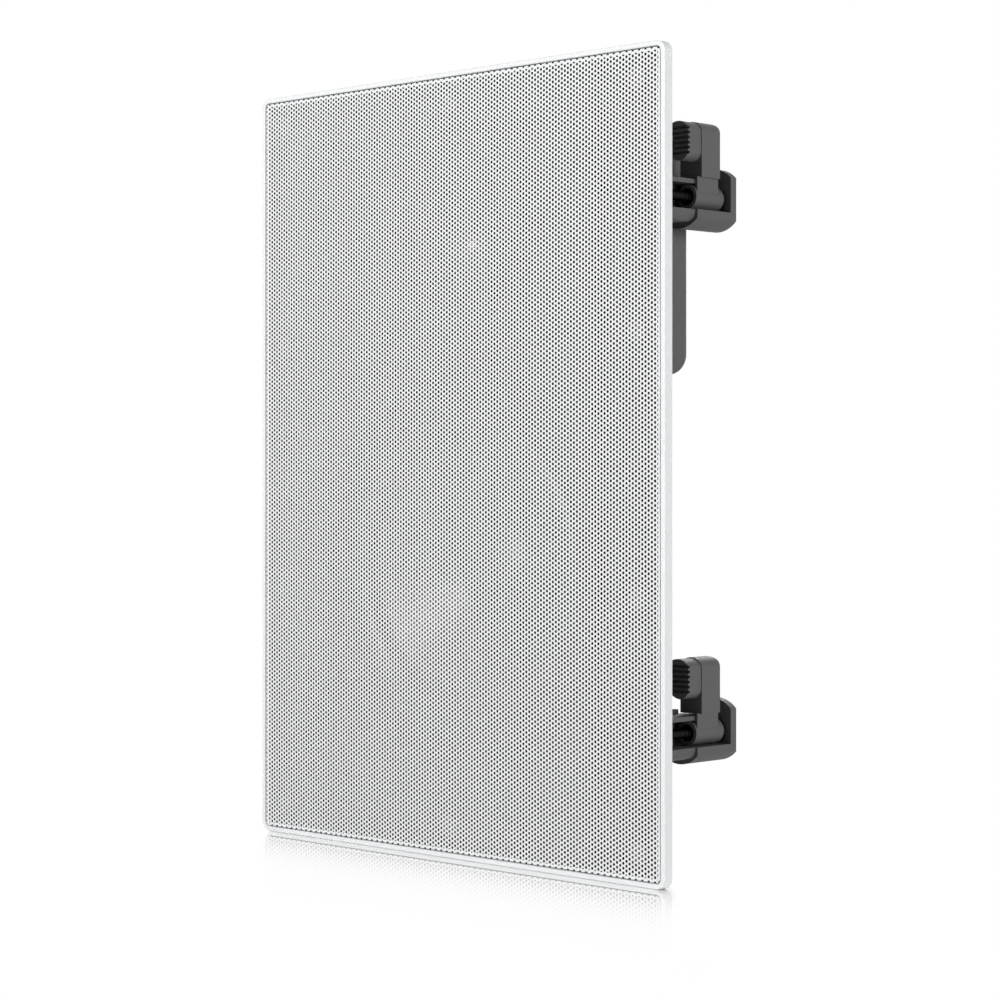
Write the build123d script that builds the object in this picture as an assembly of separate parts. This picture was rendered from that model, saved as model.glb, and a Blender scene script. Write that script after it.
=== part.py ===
import os
from math import atan2, cos, pi, radians, sin, sqrt

from build123d import *

# Two-way in-wall loudspeaker with a magnetic grille and swing-out wall clamps.
# X runs to the right seen from the room, Y into the wall and Z up, in millimetres.
# The plane Y = 0 is the wall's surface, and the origin is the middle of the panel on it.
# The room side of every piece is therefore its low-Y side.

# Fits shared by many pieces
part_fit = 0.1
run_fit = 0.05
open_fit = 0.3
cut_over = 1.0
least_corner_r = 0.2

# Bezel: white frame with an L section, a rim outside and a foot against the wall
bezel_depth = 4.5
bezel_lip = 1.9
bezel_corner_r = 4.0
bezel_edge_r = 0.5
bezel_foot_w = 3.0
bezel_foot_t = 1.2

# Grille: perforated steel pan held by disc magnets
grille_t = 0.8
grille_gap = 0.45
grille_set_back = 0.1
grille_seat_gap = 0.1
grille_pitch = 26.0
grille_hole_r = 8.0
grille_border = 1.6
magnet_disc_r = 4.0
magnet_disc_t = 2.3
magnet_side_inset = 13.5
magnet_end_inset = 12.2
magnet_level_z = 48.7

# Chassis: flange against the wall and a shallow tub whose floor is the baffle
flange_t = 2.5
flange_side_w = 21.0
flange_end_w = 18.5
tub_wall = 3.0
tub_corner_r = 8.0
baffle_set_back = 3.0
baffle_t = 3.0
skirt_t = 2.0
skirt_depth = 4.5
woofer_side_margin = 11.5
woofer_end_margin = 15.5
housing_end_margin = 2.7

# Woofer well in the baffle
well_wall = 2.5
well_gap = 0.5
well_bead_r = 1.7
well_bead_inset = 0.7
woofer_set_back = 7.5
seat_t = 3.0
seat_hole_gap = 1.5

# Woofer basket, gasket and fixing screws
basket_r = 71.5
basket_flange_t = 1.5
basket_wall_t = 1.2
basket_flange_w = 10.5
basket_cone_run = 14.0
basket_ledge_w = 7.0
basket_ledge_depth = 25.0
basket_cup_depth = 11.0
basket_leg_count = 8
basket_window_w = 28.0
basket_window_h = 14.0
gasket_t = 0.8
gasket_land = 1.0
woofer_screw_count = 4
woofer_screw_r = 1.5
woofer_screw_head_r = 2.5
woofer_screw_head_t = 1.6
woofer_screw_inset = 2.9

# Woofer diaphragm: surround, cone and dust cap
screw_land = 6.0
surround_lip = 2.5
surround_roll_r = 5.0
surround_t = 0.8
cone_depth = 19.0
cone_t = 1.0
cap_r = 20.0
cap_rise = 7.0
cap_t = 0.6

# Woofer motor: coil on its former, spider, plates, ring magnet and yoke
former_r = 13.1
former_t = 0.3
former_tail = 0.6
neck_glue = 0.2
coil_t = 0.6
coil_h = 12.0
air_gap = 0.5
spider_t = 0.6
spider_wave = 1.1
spider_wave_count = 5
top_plate_t = 5.0
plate_inset = 1.0
ferrite_overhang = 3.0
ferrite_hole_r = 21.0
ferrite_t = 14.0
yoke_t = 5.0
vent_r = 4.0

# Woofer terminal board on a tab of the basket
tab_w = 26.0
tab_reach = 15.0
board_edge = 1.0
tag_board_t = 1.6
tag_w = 5.0
tag_t = 0.8
tag_spread = 6.0
tag_proud = 2.0

# Tweeter: faceplate with a short horn, soft dome, surround, coil and motor
tweeter_face_r = 27.0
tweeter_face_t = 2.0
tweeter_bevel = 0.55
tweeter_spigot_t = 2.5
tweeter_spigot_r = 21.5
tweeter_hole_gap = 0.5
horn_mouth_r = 20.0
dome_r = 12.2
dome_rise = 4.2
dome_t = 0.4
dome_roll_r = 1.3
dome_lip = 2.6
dome_coil_t = 0.5
dome_coil_h = 4.0
dome_plate_t = 3.0
dome_ferrite_t = 8.0
dome_ferrite_gap = 2.0
dome_yoke_t = 4.0
tweeter_screw_count = 3
tweeter_screw_r = 1.3
tweeter_screw_head_r = 2.3
tweeter_screw_head_t = 1.1
tweeter_screw_inset = 3.2

# Crossover housing: deep cover behind the tweeter, with ears screwed to the baffle
housing_gap = 1.8
housing_h = 93.0
housing_depth = 64.0
housing_side_gap = 7.5
housing_wall = 2.2
housing_corner_r = 8.0
housing_back_r = 3.5
ear_r = 4.5
ear_t = 2.5
ear_low = 10.0
ear_high = 5.5
ear_screw_r = 1.3
ear_screw_head_r = 2.7
ear_screw_head_t = 1.7
ear_screw_bite = 2.3

# Crossover board and its components
circuit_w = 96.0
circuit_h = 44.0
circuit_t = 1.6
circuit_top_gap = 4.0
post_h = 7.3
post_r = 3.2
post_inset = 4.5
post_screw_r = 1.1
post_screw_bite = 5.0
post_screw_head_r = 2.2
post_screw_head_t = 1.4
inductor_r = 14.0
inductor_h = 17.0
inductor_core_r = 5.0
inductor_cheek_t = 1.5
inductor_x = -27.0
capacitor_r = 6.5
capacitor_l = 24.0
capacitor_x = 8.0
capacitor_spread = 16.0
resistor_w = 9.0
resistor_l = 25.0
resistor_x = 34.0

# Input terminals: block in the housing's back with two sprung push levers
block_w = 38.0
block_h = 20.0
block_depth = 12.0
block_lip = 3.5
block_corner_r = 1.75
block_flange_t = 1.5
block_end_gap = 1.0
lever_spread = 9.0
lever_w = 10.0
lever_h = 7.0
lever_proud = 2.6
lever_edge_r = 1.3
lever_depth = 6.0
lever_z = 4.5
wire_bore_r = 1.6
wire_bore_depth = 9.0
wire_z = -5.0
spring_r = 2.2
spring_wire_r = 0.35
spring_turns = 4
contact_w = 4.0
contact_t = 0.8
contact_l = 6.0

# Leads from the crossover to the drivers
lead_r = 1.0
lead_hole_gap = 0.4
lead_rise = 14.0
lead_reach = 5.0
lead_bend_r = 6.0
tweeter_tag_w = 3.0
tweeter_lead_spread = 2.0
tweeter_lead_rise = 5.0

# Clamp towers, measured from each screw's axis
clamp_side_inset = 8.0
clamp_end_inset = 29.0
tower_depth = 65.2
tower_back_t = 3.3
tower_block_l = 23.2
tower_out = 6.0
tower_in = 8.5
tower_side_t = 2.5
tower_face_z = 8.3
tower_crown_z = 12.1
tower_crown_x = -3.0
tower_heel_z = 10.8
tower_floor_z = 5.15
rail_out = 5.0
rail_h = 4.6
rail_round_r = 4.0
buttress_z = 8.5
buttress_l = 45.0
shelf_gap = 0.2
shelf_t = 1.7
shelf_out = 3.0

# Clamp arm, bush, screw and retaining ring, measured from the screw's axis
arm_w = 10.6
arm_top_z = 28.7
arm_arch_rise = 4.0
arm_plate_t = 10.9
arm_plate_end = 3.0
arm_back_r = 1.8
jaw_depth = 7.8
jaw_inset = 0.3
jaw_low_z = 13.2
jaw_low_x = 1.0
jaw_heel_rise = 5.9
tooth_count = 6
tooth_pitch = 1.9
tooth_depth = 1.5
tooth_land = 0.1
tooth_low_z = 15.2
neck_t = 1.05
neck_end = 1.0
barrel_r = 4.7
barrel_l = 16.3
bush_r = 3.2
bush_flange_r = 4.5
bush_flange_t = 1.2
bush_end_gap = 1.4
clamp_screw_r = 2.0
clamp_head_r = 4.0
clamp_head_t = 2.2
clamp_recess_w = 0.9
clamp_recess_l = 4.6
clamp_recess_depth = 1.2
clamp_tip_inset = 1.2
ring_r = 3.8
ring_t = 0.8

# Depths from the front of the bezel back to the baffle
bezel_front = -bezel_depth
grille_front = bezel_front + grille_set_back
grille_back = grille_front + grille_t
flange_front = -flange_t
baffle_front = flange_front + baffle_set_back
baffle_back = baffle_front + baffle_t

# Layout of the baffle: the woofer sets its width, and woofer and housing its height
well_r = basket_r + well_gap
well_outer_r = well_r + well_wall
tub_w = 2 * (well_outer_r + woofer_side_margin)
tub_h = woofer_end_margin + 2 * well_outer_r + housing_gap + housing_h + housing_end_margin
panel_w = tub_w + 2 * (tub_wall + flange_side_w)
panel_h = tub_h + 2 * (tub_wall + flange_end_w)
woofer_z = -tub_h / 2 + woofer_end_margin + well_outer_r
housing_low = woofer_z + well_outer_r + housing_gap
tweeter_z = housing_low + housing_h / 2
clamp_x = tub_w / 2 - clamp_side_inset
clamp_z = tub_h / 2 - clamp_end_inset

# Depths in the woofer
basket_front = baffle_front + woofer_set_back
basket_flange_back = basket_front + basket_flange_t
seat_front = basket_flange_back + gasket_t
seat_back = seat_front + seat_t
ledge_front = basket_front + basket_ledge_depth
ledge_back = ledge_front + basket_wall_t
motor_front = ledge_front + basket_cup_depth
ferrite_front = motor_front + top_plate_t
yoke_front = ferrite_front + ferrite_t
yoke_back = yoke_front + yoke_t
coil_back = motor_front + top_plate_t / 2 + coil_h / 2

# Radii in the woofer
basket_wall_r = basket_r - basket_flange_w
seat_hole_r = basket_wall_r + seat_hole_gap
ledge_r = basket_wall_r - basket_cone_run
cup_r = ledge_r - basket_ledge_w
surround_r = basket_r - screw_land
roll_mid_r = surround_r - surround_lip - surround_roll_r
cone_r = roll_mid_r - surround_roll_r
cone_inner_r = cone_r - surround_lip
neck_r = former_r + neck_glue
coil_r = former_r + coil_t
pole_r = former_r - former_t - air_gap
gap_r = coil_r + air_gap

# The woofer's terminal board and the leads that end on its tags
tab_top = woofer_z + ledge_r + tab_reach
tag_board_low = woofer_z + ledge_r + board_edge
lead_y = ledge_back + tag_board_t + tag_t + lead_r

# Depths in the tweeter
tweeter_front = baffle_front - tweeter_face_t
dome_plane = baffle_front + tweeter_spigot_t
dome_plate_front = dome_plane + dome_t
dome_ferrite_front = dome_plate_front + dome_plate_t
dome_yoke_front = dome_ferrite_front + dome_ferrite_t
dome_yoke_back = dome_yoke_front + dome_yoke_t
roll_outer_r = dome_r + 2 * dome_roll_r
dome_pole_r = dome_r - dome_coil_t - air_gap
dome_gap_r = dome_r + air_gap

# Places in and on the housing
housing_w = 2 * (clamp_x - tower_in - housing_side_gap)
housing_back = baffle_back + housing_depth
housing_inside = housing_back - housing_wall
housing_high = housing_low + housing_h
ear_x = housing_w / 2 + ear_r
ear_levels = (housing_low + ear_low, housing_high - ear_high)
circuit_back = housing_inside - post_h
circuit_front = circuit_back - circuit_t
circuit_z = housing_high - housing_wall - circuit_top_gap - circuit_h / 2
post_places = [
    (side * (circuit_w / 2 - post_inset), circuit_z + level * (circuit_h / 2 - post_inset))
    for side in (-1, 1)
    for level in (-1, 1)
]
block_z = housing_low + housing_corner_r + block_end_gap + block_lip + block_h / 2
block_back = housing_back + block_flange_t
block_front = housing_back - block_depth
lever_back = block_back + lever_proud
lever_front = block_back - lever_depth
spring_front = block_front + block_flange_t

# Places along each clamp screw
tower_back = baffle_back + tower_depth
tower_wall_front = tower_back - tower_back_t
tower_block_front = tower_back - tower_block_l
bush_back = tower_wall_front - bush_end_gap
barrel_back = bush_back - bush_flange_t - run_fit
barrel_front = barrel_back - barrel_l
arm_back = barrel_back - arm_plate_end
arm_front = arm_back - arm_plate_t
jaw_front = arm_front - jaw_depth
screw_tip = tower_back - clamp_tip_inset

# Levels at each clamp: the barrel runs below the shelf, and the arm's foot swings clear of its outer edge
shelf_z = barrel_r + shelf_gap
shelf_top = shelf_z + shelf_t
arm_foot_z = sqrt(shelf_out**2 + shelf_top**2) + part_fit
clamps = {
    "upper_right": (1, 1),
    "lower_right": (1, -1),
    "upper_left": (-1, 1),
    "lower_left": (-1, -1),
}


def upright(y):
    """Drawing plane at depth y, with X across and Z up."""
    return Plane(origin=(0, y, 0), x_dir=(1, 0, 0), z_dir=(0, -1, 0))


def slab(outline, y_front, y_back):
    """Solid between two depths from an outline drawn across X and up Z."""
    return extrude(upright(y_back) * outline, amount=y_back - y_front)


def rod(x, z, radius, y_front, y_back):
    """Round bar along Y."""
    return slab(Pos(x, z) * Circle(radius), y_front, y_back)


def bar(x_low, x_high, z_low, z_high, y_front, y_back):
    """Square-edged block between two corners."""
    middle = Pos((x_low + x_high) / 2, (z_low + z_high) / 2)
    return slab(middle * Rectangle(x_high - x_low, z_high - z_low), y_front, y_back)


def rounded(width, height, radius):
    """Rounded rectangle whose corner radius never falls to nothing."""
    return RectangleRounded(width, height, max(radius, least_corner_r))


def turned(*edges):
    """Solid of revolution about Y from edges drawn as radius and depth."""
    return revolve(make_face(edges), axis=Axis.Y)


def turned_points(*points):
    """Solid of revolution about Y from a straight-sided profile of radius and depth."""
    return revolve(make_face(Polyline(*points, close=True)), axis=Axis.Y)


def ring_places(count, radius, z, first_degrees):
    """Places (x, z) spaced evenly on a circle about (0, z)."""
    angles = [radians(first_degrees + 360 * i / count) for i in range(count)]
    return [(radius * cos(a), z + radius * sin(a)) for a in angles]


def pan_head_screw(x, z, shank_r, head_r, y_head, head_t, y_tip):
    """Screw along Y; its head stands on y_head, on the side away from the tip."""
    toward = 1 if y_tip > y_head else -1
    low, high = sorted((y_head, y_tip))
    shank = rod(x, z, shank_r, low, high)
    low, high = sorted((y_head, y_head - toward * head_t))
    return shank + rod(x, z, head_r, low, high)


def clamp_place(side, level):
    """Place of a clamp; those on the left are the right-hand ones turned half round."""
    return Pos(side * clamp_x, 0, level * clamp_z) * Rot(0, 0 if side > 0 else 180, 0)


def crown(x_end, z_end, x_top, z_top):
    """Arc that rises from its end and is level at its top."""
    rise = z_top - z_end
    run = x_end - x_top
    radius = (run**2 + rise**2) / (2 * abs(rise))
    center_z = z_top - radius * (1 if rise > 0 else -1)
    start = atan2(z_end - center_z, run)
    middle = (start + (pi / 2 if rise > 0 else -pi / 2)) / 2
    halfway = (x_top + radius * cos(middle), center_z + radius * sin(middle))
    return ThreePointArc((x_end, z_end), halfway, (x_top, z_top))


def bezel():
    outer = rounded(panel_w, panel_h, bezel_corner_r)
    inside_w = panel_w - 2 * bezel_lip
    inside_h = panel_h - 2 * bezel_lip
    inside_r = bezel_corner_r - bezel_lip
    lip_opening = rounded(inside_w, inside_h, inside_r)
    foot_opening = rounded(inside_w - 2 * bezel_foot_w, inside_h - 2 * bezel_foot_w, inside_r)
    rim = slab(outer - lip_opening, bezel_front, 0)
    rim = fillet(rim.edges().group_by(Axis.Y)[0], bezel_edge_r)
    return rim + slab(outer - foot_opening, -bezel_foot_t, 0)


def grille():
    # The real sheet has the same staggered round holes at a much finer pitch, with the same open share.
    inset = bezel_lip + grille_gap
    width = panel_w - 2 * inset
    height = panel_h - 2 * inset
    corner_r = bezel_corner_r - inset
    outline = rounded(width, height, corner_r)
    column_pitch = grille_pitch * sqrt(3) / 2
    columns = int((width / 2 - grille_hole_r - grille_border) / column_pitch)
    holes = []
    for column in range(-columns, columns + 1):
        shift = grille_pitch / 2 if column % 2 else 0
        rows = int((height / 2 - grille_hole_r - grille_border - shift) / grille_pitch)
        low_row = -rows - (1 if shift else 0)
        for row in range(low_row, rows + 1):
            holes.append(Pos(column * column_pitch, row * grille_pitch + shift) * Circle(grille_hole_r))
    sheet = slab(outline - holes, grille_front, grille_back)
    edge = outline - rounded(width - 2 * grille_t, height - 2 * grille_t, corner_r - grille_t)
    return sheet + slab(edge, grille_front, flange_front - grille_seat_gap)


def magnet_places():
    x = panel_w / 2 - magnet_side_inset
    z = panel_h / 2 - magnet_end_inset
    corners = [(side * x, level * z) for side in (-1, 1) for level in (-1, 1)]
    sides = [(side * x, level * magnet_level_z) for side in (-1, 1) for level in (-1, 1)]
    return corners + sides + [(0, z), (0, -z)]


def grille_magnets():
    front = grille_back + grille_seat_gap
    return [rod(x, z, magnet_disc_r, front, front + magnet_disc_t) for x, z in magnet_places()]


def tower():
    """One clamp tower about its screw's axis, outboard along +X, from the baffle to its back wall."""
    rail_top = -tower_floor_z
    rail_low = rail_top - rail_h
    side_wall = bar(-tower_in, tower_side_t - tower_in, rail_low, shelf_top, baffle_back, tower_back)
    buttress = bar(-tower_in, tower_side_t - tower_in, 0, buttress_z, baffle_back, baffle_back + buttress_l)
    shelf = bar(-tower_in, -open_fit, shelf_z, shelf_top, baffle_back, tower_back)
    shelf += bar(-tower_in, shelf_out, shelf_z, shelf_top, baffle_back, arm_front - open_fit)
    rail = bar(-tower_in, rail_out, rail_low, rail_top, baffle_back, tower_back)
    rail = fillet(rail.edges().filter_by(Axis.Y).sort_by(Axis.Z)[:2].sort_by(Axis.X)[-1], rail_round_r)
    low_arc = crown(tower_out, -tower_face_z, tower_crown_x, -tower_crown_z)
    high_arc = crown(tower_out, tower_face_z, tower_crown_x, tower_crown_z)
    heel_arc = crown(-tower_in, -tower_heel_z, tower_crown_x, -tower_crown_z)
    floor_edge = Polyline(
        (-tower_in, -tower_heel_z),
        (-tower_in, -tower_floor_z),
        (tower_out, -tower_floor_z),
        (tower_out, -tower_face_z),
    )
    block = slab(make_face([low_arc, heel_arc, floor_edge]), tower_block_front, tower_back)
    in_edge = Polyline(
        (-tower_in, -tower_heel_z),
        (-tower_in, tower_crown_z),
        (tower_crown_x, tower_crown_z),
    )
    out_edge = Line((tower_out, -tower_face_z), (tower_out, tower_face_z))
    back_wall = slab(make_face([low_arc, heel_arc, in_edge, high_arc, out_edge]), tower_wall_front, tower_back)
    return side_wall + buttress + shelf + rail + block + back_wall


def chassis():
    inset = bezel_lip + part_fit
    flange_w = panel_w - 2 * inset
    flange_h = panel_h - 2 * inset
    corner_r = bezel_corner_r - bezel_lip
    flange = slab(rounded(flange_w, flange_h, corner_r), flange_front, 0)
    kept = rounded(flange_w - 2 * bezel_foot_w, flange_h - 2 * bezel_foot_w, corner_r)
    rebate = rounded(panel_w, panel_h, bezel_corner_r) - kept
    body = flange - slab(rebate, -bezel_foot_t, cut_over)
    tub_outer = rounded(tub_w + 2 * tub_wall, tub_h + 2 * tub_wall, tub_corner_r + tub_wall)
    body += slab(tub_outer, flange_front, baffle_back)
    body -= slab(rounded(tub_w, tub_h, tub_corner_r), flange_front - cut_over, baffle_front)
    skirt_in = tub_wall - skirt_t
    skirt_inner = rounded(tub_w + 2 * skirt_in, tub_h + 2 * skirt_in, tub_corner_r + skirt_in)
    body += slab(tub_outer - skirt_inner, baffle_back, baffle_back + skirt_depth)
    body += rod(0, woofer_z, well_outer_r, baffle_front, seat_back)
    bead_r = well_r + well_bead_r + well_bead_inset
    body += Pos(0, baffle_front, woofer_z) * Rot(90, 0, 0) * Torus(bead_r, well_bead_r)
    body -= rod(0, woofer_z, well_r, flange_front, seat_front)
    body -= rod(0, woofer_z, seat_hole_r, flange_front, seat_back + cut_over)
    for side, level in clamps.values():
        body += clamp_place(side, level) * tower()
        shaft_r = clamp_screw_r + run_fit
        body -= rod(side * clamp_x, level * clamp_z, shaft_r, flange_front, tower_back + cut_over)
    for x, z in magnet_places():
        back = grille_back + grille_seat_gap + magnet_disc_t
        body -= rod(x, z, magnet_disc_r + run_fit, flange_front - cut_over, back)
    body -= rod(0, tweeter_z, tweeter_spigot_r + tweeter_hole_gap, flange_front, baffle_back + cut_over)
    for x, z in tweeter_screw_places():
        body -= rod(x, z, tweeter_screw_r + run_fit, flange_front, baffle_back + cut_over)
    for x, z in woofer_screw_places():
        body -= rod(x, z, woofer_screw_r + run_fit, flange_front, seat_back + cut_over)
    pilot_front = baffle_back - ear_screw_bite - part_fit
    for x, z in ear_places():
        body -= rod(x, z, ear_screw_r + run_fit, pilot_front, baffle_back + cut_over)
    return body


def woofer_screw_places():
    first = 180 / woofer_screw_count
    return ring_places(woofer_screw_count, basket_r - woofer_screw_inset, woofer_z, first)


def woofer_basket():
    body = turned_points(
        (basket_wall_r - basket_wall_t, basket_front),
        (basket_r, basket_front),
        (basket_r, basket_flange_back),
        (basket_wall_r, basket_flange_back),
        (ledge_r, ledge_back),
        (cup_r, ledge_back),
        (cup_r, motor_front),
        (gap_r, motor_front),
        (gap_r, motor_front - basket_wall_t),
        (cup_r - basket_wall_t, motor_front - basket_wall_t),
        (cup_r - basket_wall_t, ledge_front),
        (ledge_r - basket_wall_t, ledge_front),
    )
    middle = (basket_flange_back + ledge_front) / 2
    window_l = 2 * (basket_wall_r - cup_r)
    window = Pos(basket_wall_r, middle, 0) * Box(window_l, basket_window_h, basket_window_w)
    for leg in range(basket_leg_count):
        body -= Rot(0, 360 * leg / basket_leg_count, 0) * window
    tab_low = cup_r - basket_wall_t
    body += bar(-tab_w / 2, tab_w / 2, tab_low, ledge_r + tab_reach, ledge_front, ledge_back)
    body = Pos(0, 0, woofer_z) * body
    for x, z in woofer_screw_places():
        body -= rod(x, z, woofer_screw_r + part_fit, basket_front - cut_over, basket_flange_back + cut_over)
    return body


def woofer_gasket():
    body = rod(0, woofer_z, basket_r, basket_flange_back, seat_front)
    body -= rod(0, woofer_z, seat_hole_r + gasket_land, basket_flange_back, seat_front)
    for x, z in woofer_screw_places():
        body -= rod(x, z, woofer_screw_r + part_fit, basket_flange_back, seat_front)
    return body


def woofer_screws():
    head_r = woofer_screw_head_r
    head_t = woofer_screw_head_t
    return [
        pan_head_screw(x, z, woofer_screw_r, head_r, basket_front, head_t, seat_back)
        for x, z in woofer_screw_places()
    ]


def woofer_surround():
    front = basket_front - surround_t
    outer_arc = ThreePointArc(
        (roll_mid_r + surround_roll_r, front),
        (roll_mid_r, front - surround_roll_r),
        (roll_mid_r - surround_roll_r, front),
    )
    inner_r = surround_roll_r - surround_t
    inner_arc = ThreePointArc(
        (roll_mid_r - inner_r, basket_front),
        (roll_mid_r, basket_front - surround_t - inner_r),
        (roll_mid_r + inner_r, basket_front),
    )
    inner_lip = Polyline(
        (roll_mid_r - surround_roll_r, front),
        (cone_inner_r, front),
        (cone_inner_r, basket_front),
        (roll_mid_r - inner_r, basket_front),
    )
    outer_lip = Polyline(
        (roll_mid_r + inner_r, basket_front),
        (surround_r, basket_front),
        (surround_r, front),
        (roll_mid_r + surround_roll_r, front),
    )
    return Pos(0, 0, woofer_z) * turned(outer_arc, inner_lip, inner_arc, outer_lip)


def cone_front(radius):
    """Depth of the cone's front surface at a radius."""
    return basket_front + cone_depth * (cone_inner_r - radius) / (cone_inner_r - neck_r)


def woofer_cone():
    body = turned_points(
        (cone_r, basket_front),
        (cone_inner_r, basket_front),
        (neck_r, cone_front(neck_r)),
        (neck_r, cone_front(neck_r) + cone_t),
        (cone_inner_r, basket_front + cone_t),
        (cone_r, basket_front + cone_t),
    )
    return Pos(0, 0, woofer_z) * body


def domed_cap(radius, rise, thickness, rim_y):
    """Thin spherical cap about Y, bulging to the room from its rim."""

    def arc(rim_r, top):
        sphere_r = (rim_r**2 + top**2) / (2 * top)
        half = atan2(rim_r, sphere_r - top) / 2
        halfway = (sphere_r * sin(half), rim_y + sphere_r - top - sphere_r * cos(half))
        return ThreePointArc((rim_r, rim_y), halfway, (0, rim_y - top))

    outer = arc(radius, rise)
    inner = arc(radius - thickness, rise - thickness)
    rim = Line((radius - thickness, rim_y), (radius, rim_y))
    middle = Line((0, rim_y - rise), (0, rim_y - rise + thickness))
    return turned(outer, middle, inner, rim)


def woofer_dust_cap():
    return Pos(0, 0, woofer_z) * domed_cap(cap_r, cap_rise, cap_t, cone_front(cap_r))


def woofer_coil_former():
    front = cone_front(neck_r) - cone_t
    body = rod(0, woofer_z, former_r, front, coil_back + former_tail)
    return body - rod(0, woofer_z, former_r - former_t, front, coil_back + former_tail)


def woofer_voice_coil():
    body = rod(0, woofer_z, coil_r, coil_back - coil_h, coil_back)
    return body - rod(0, woofer_z, former_r, coil_back - coil_h, coil_back)


def woofer_spider():
    # Corrugated cloth disc: half-round waves between a flat inner collar and a flat outer rim.
    inner_r = former_r + neck_glue
    outer_r = ledge_r - basket_wall_t - open_fit
    rim_r = cup_r - basket_wall_t - open_fit
    wave = (rim_r - inner_r) / (2 * spider_wave_count + 1)
    back = ledge_front
    front = back - spider_t
    edges = []
    for shift in (0, spider_t):
        start = (inner_r, front + shift)
        edges.append(Line(start, (inner_r + wave, front + shift)))
        for i in range(2 * spider_wave_count):
            left = inner_r + wave * (i + 1)
            rise = spider_wave if i % 2 else -spider_wave
            middle = (left + wave / 2, front + shift + rise)
            edges.append(ThreePointArc((left, front + shift), middle, (left + wave, front + shift)))
        edges.append(Line((rim_r, front + shift), (outer_r, front + shift)))
    edges.append(Line((inner_r, front), (inner_r, back)))
    edges.append(Line((outer_r, front), (outer_r, back)))
    return Pos(0, 0, woofer_z) * turned(*edges)


def woofer_top_plate():
    plate_r = cup_r - plate_inset
    body = rod(0, woofer_z, plate_r, motor_front, ferrite_front)
    return body - rod(0, woofer_z, gap_r, motor_front, ferrite_front)


def woofer_magnet():
    body = rod(0, woofer_z, cup_r + ferrite_overhang, ferrite_front, yoke_front)
    return body - rod(0, woofer_z, ferrite_hole_r, ferrite_front, yoke_front)


def woofer_yoke():
    body = rod(0, woofer_z, cup_r - plate_inset, yoke_front, yoke_back)
    body += rod(0, woofer_z, pole_r, motor_front, yoke_front)
    return body - rod(0, woofer_z, vent_r, motor_front - cut_over, yoke_back + cut_over)


def woofer_tag_board():
    half = tab_w / 2 - board_edge
    return bar(-half, half, tag_board_low, tab_top - board_edge, ledge_back, ledge_back + tag_board_t)


def woofer_tags():
    back = ledge_back + tag_board_t
    low = tag_board_low + board_edge
    return [
        bar(x - tag_w / 2, x + tag_w / 2, low, tab_top + tag_proud, back, back + tag_t)
        for x in (-tag_spread, tag_spread)
    ]


def tweeter_screw_places():
    return ring_places(tweeter_screw_count, tweeter_face_r - tweeter_screw_inset, tweeter_z, 90)


def tweeter_faceplate():
    throat_r = roll_outer_r + open_fit
    throat_y = (baffle_front + dome_plane) / 2
    body = turned_points(
        (tweeter_face_r, baffle_front),
        (tweeter_face_r, tweeter_front + tweeter_bevel),
        (tweeter_face_r - tweeter_bevel, tweeter_front),
        (horn_mouth_r, tweeter_front),
        (throat_r, throat_y),
        (throat_r, dome_plane),
        (tweeter_spigot_r, dome_plane),
        (tweeter_spigot_r, baffle_front),
    )
    body = Pos(0, 0, tweeter_z) * body
    sink = tweeter_front + tweeter_screw_head_t
    for x, z in tweeter_screw_places():
        body -= rod(x, z, tweeter_screw_head_r + part_fit, tweeter_front - cut_over, sink)
        body -= rod(x, z, tweeter_screw_r + part_fit, tweeter_front, baffle_front + cut_over)
    return body


def tweeter_screws():
    head = tweeter_front + tweeter_screw_head_t
    return [
        pan_head_screw(x, z, tweeter_screw_r, tweeter_screw_head_r, head, tweeter_screw_head_t, baffle_back)
        for x, z in tweeter_screw_places()
    ]


def tweeter_dome():
    return Pos(0, 0, tweeter_z) * domed_cap(dome_r, dome_rise, dome_t, dome_plane)


def tweeter_surround():
    middle_r = dome_r + dome_roll_r
    inner_r = dome_roll_r - dome_t
    back = dome_plane + dome_t
    outer_arc = ThreePointArc(
        (middle_r + dome_roll_r, dome_plane),
        (middle_r, dome_plane - dome_roll_r),
        (middle_r - dome_roll_r + part_fit, dome_plane),
    )
    inner_arc = ThreePointArc(
        (middle_r - inner_r + part_fit, back),
        (middle_r, back - inner_r),
        (middle_r + inner_r, back),
    )
    inner_edge = Line((middle_r - dome_roll_r + part_fit, dome_plane), (middle_r - inner_r + part_fit, back))
    lip = Polyline(
        (middle_r + inner_r, back),
        (middle_r + dome_roll_r + dome_lip, back),
        (middle_r + dome_roll_r + dome_lip, dome_plane),
        (middle_r + dome_roll_r, dome_plane),
    )
    return Pos(0, 0, tweeter_z) * turned(outer_arc, inner_edge, inner_arc, lip)


def tweeter_voice_coil():
    body = rod(0, tweeter_z, dome_r, dome_plane, dome_plane + dome_coil_h)
    return body - rod(0, tweeter_z, dome_r - dome_coil_t, dome_plane, dome_plane + dome_coil_h)


def tweeter_top_plate():
    plate_r = tweeter_spigot_r - plate_inset
    body = rod(0, tweeter_z, plate_r, dome_plate_front, dome_ferrite_front)
    return body - rod(0, tweeter_z, dome_gap_r, dome_plate_front, dome_ferrite_front)


def tweeter_magnet():
    body = rod(0, tweeter_z, tweeter_spigot_r - plate_inset, dome_ferrite_front, dome_yoke_front)
    return body - rod(0, tweeter_z, dome_gap_r + dome_ferrite_gap, dome_ferrite_front, dome_yoke_front)


def tweeter_yoke():
    body = rod(0, tweeter_z, tweeter_spigot_r - plate_inset, dome_yoke_front, dome_yoke_back)
    return body + rod(0, tweeter_z, dome_pole_r, dome_plate_front, dome_yoke_front)


def ear_places():
    return [(side * ear_x, level) for side in (-1, 1) for level in ear_levels]


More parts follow.
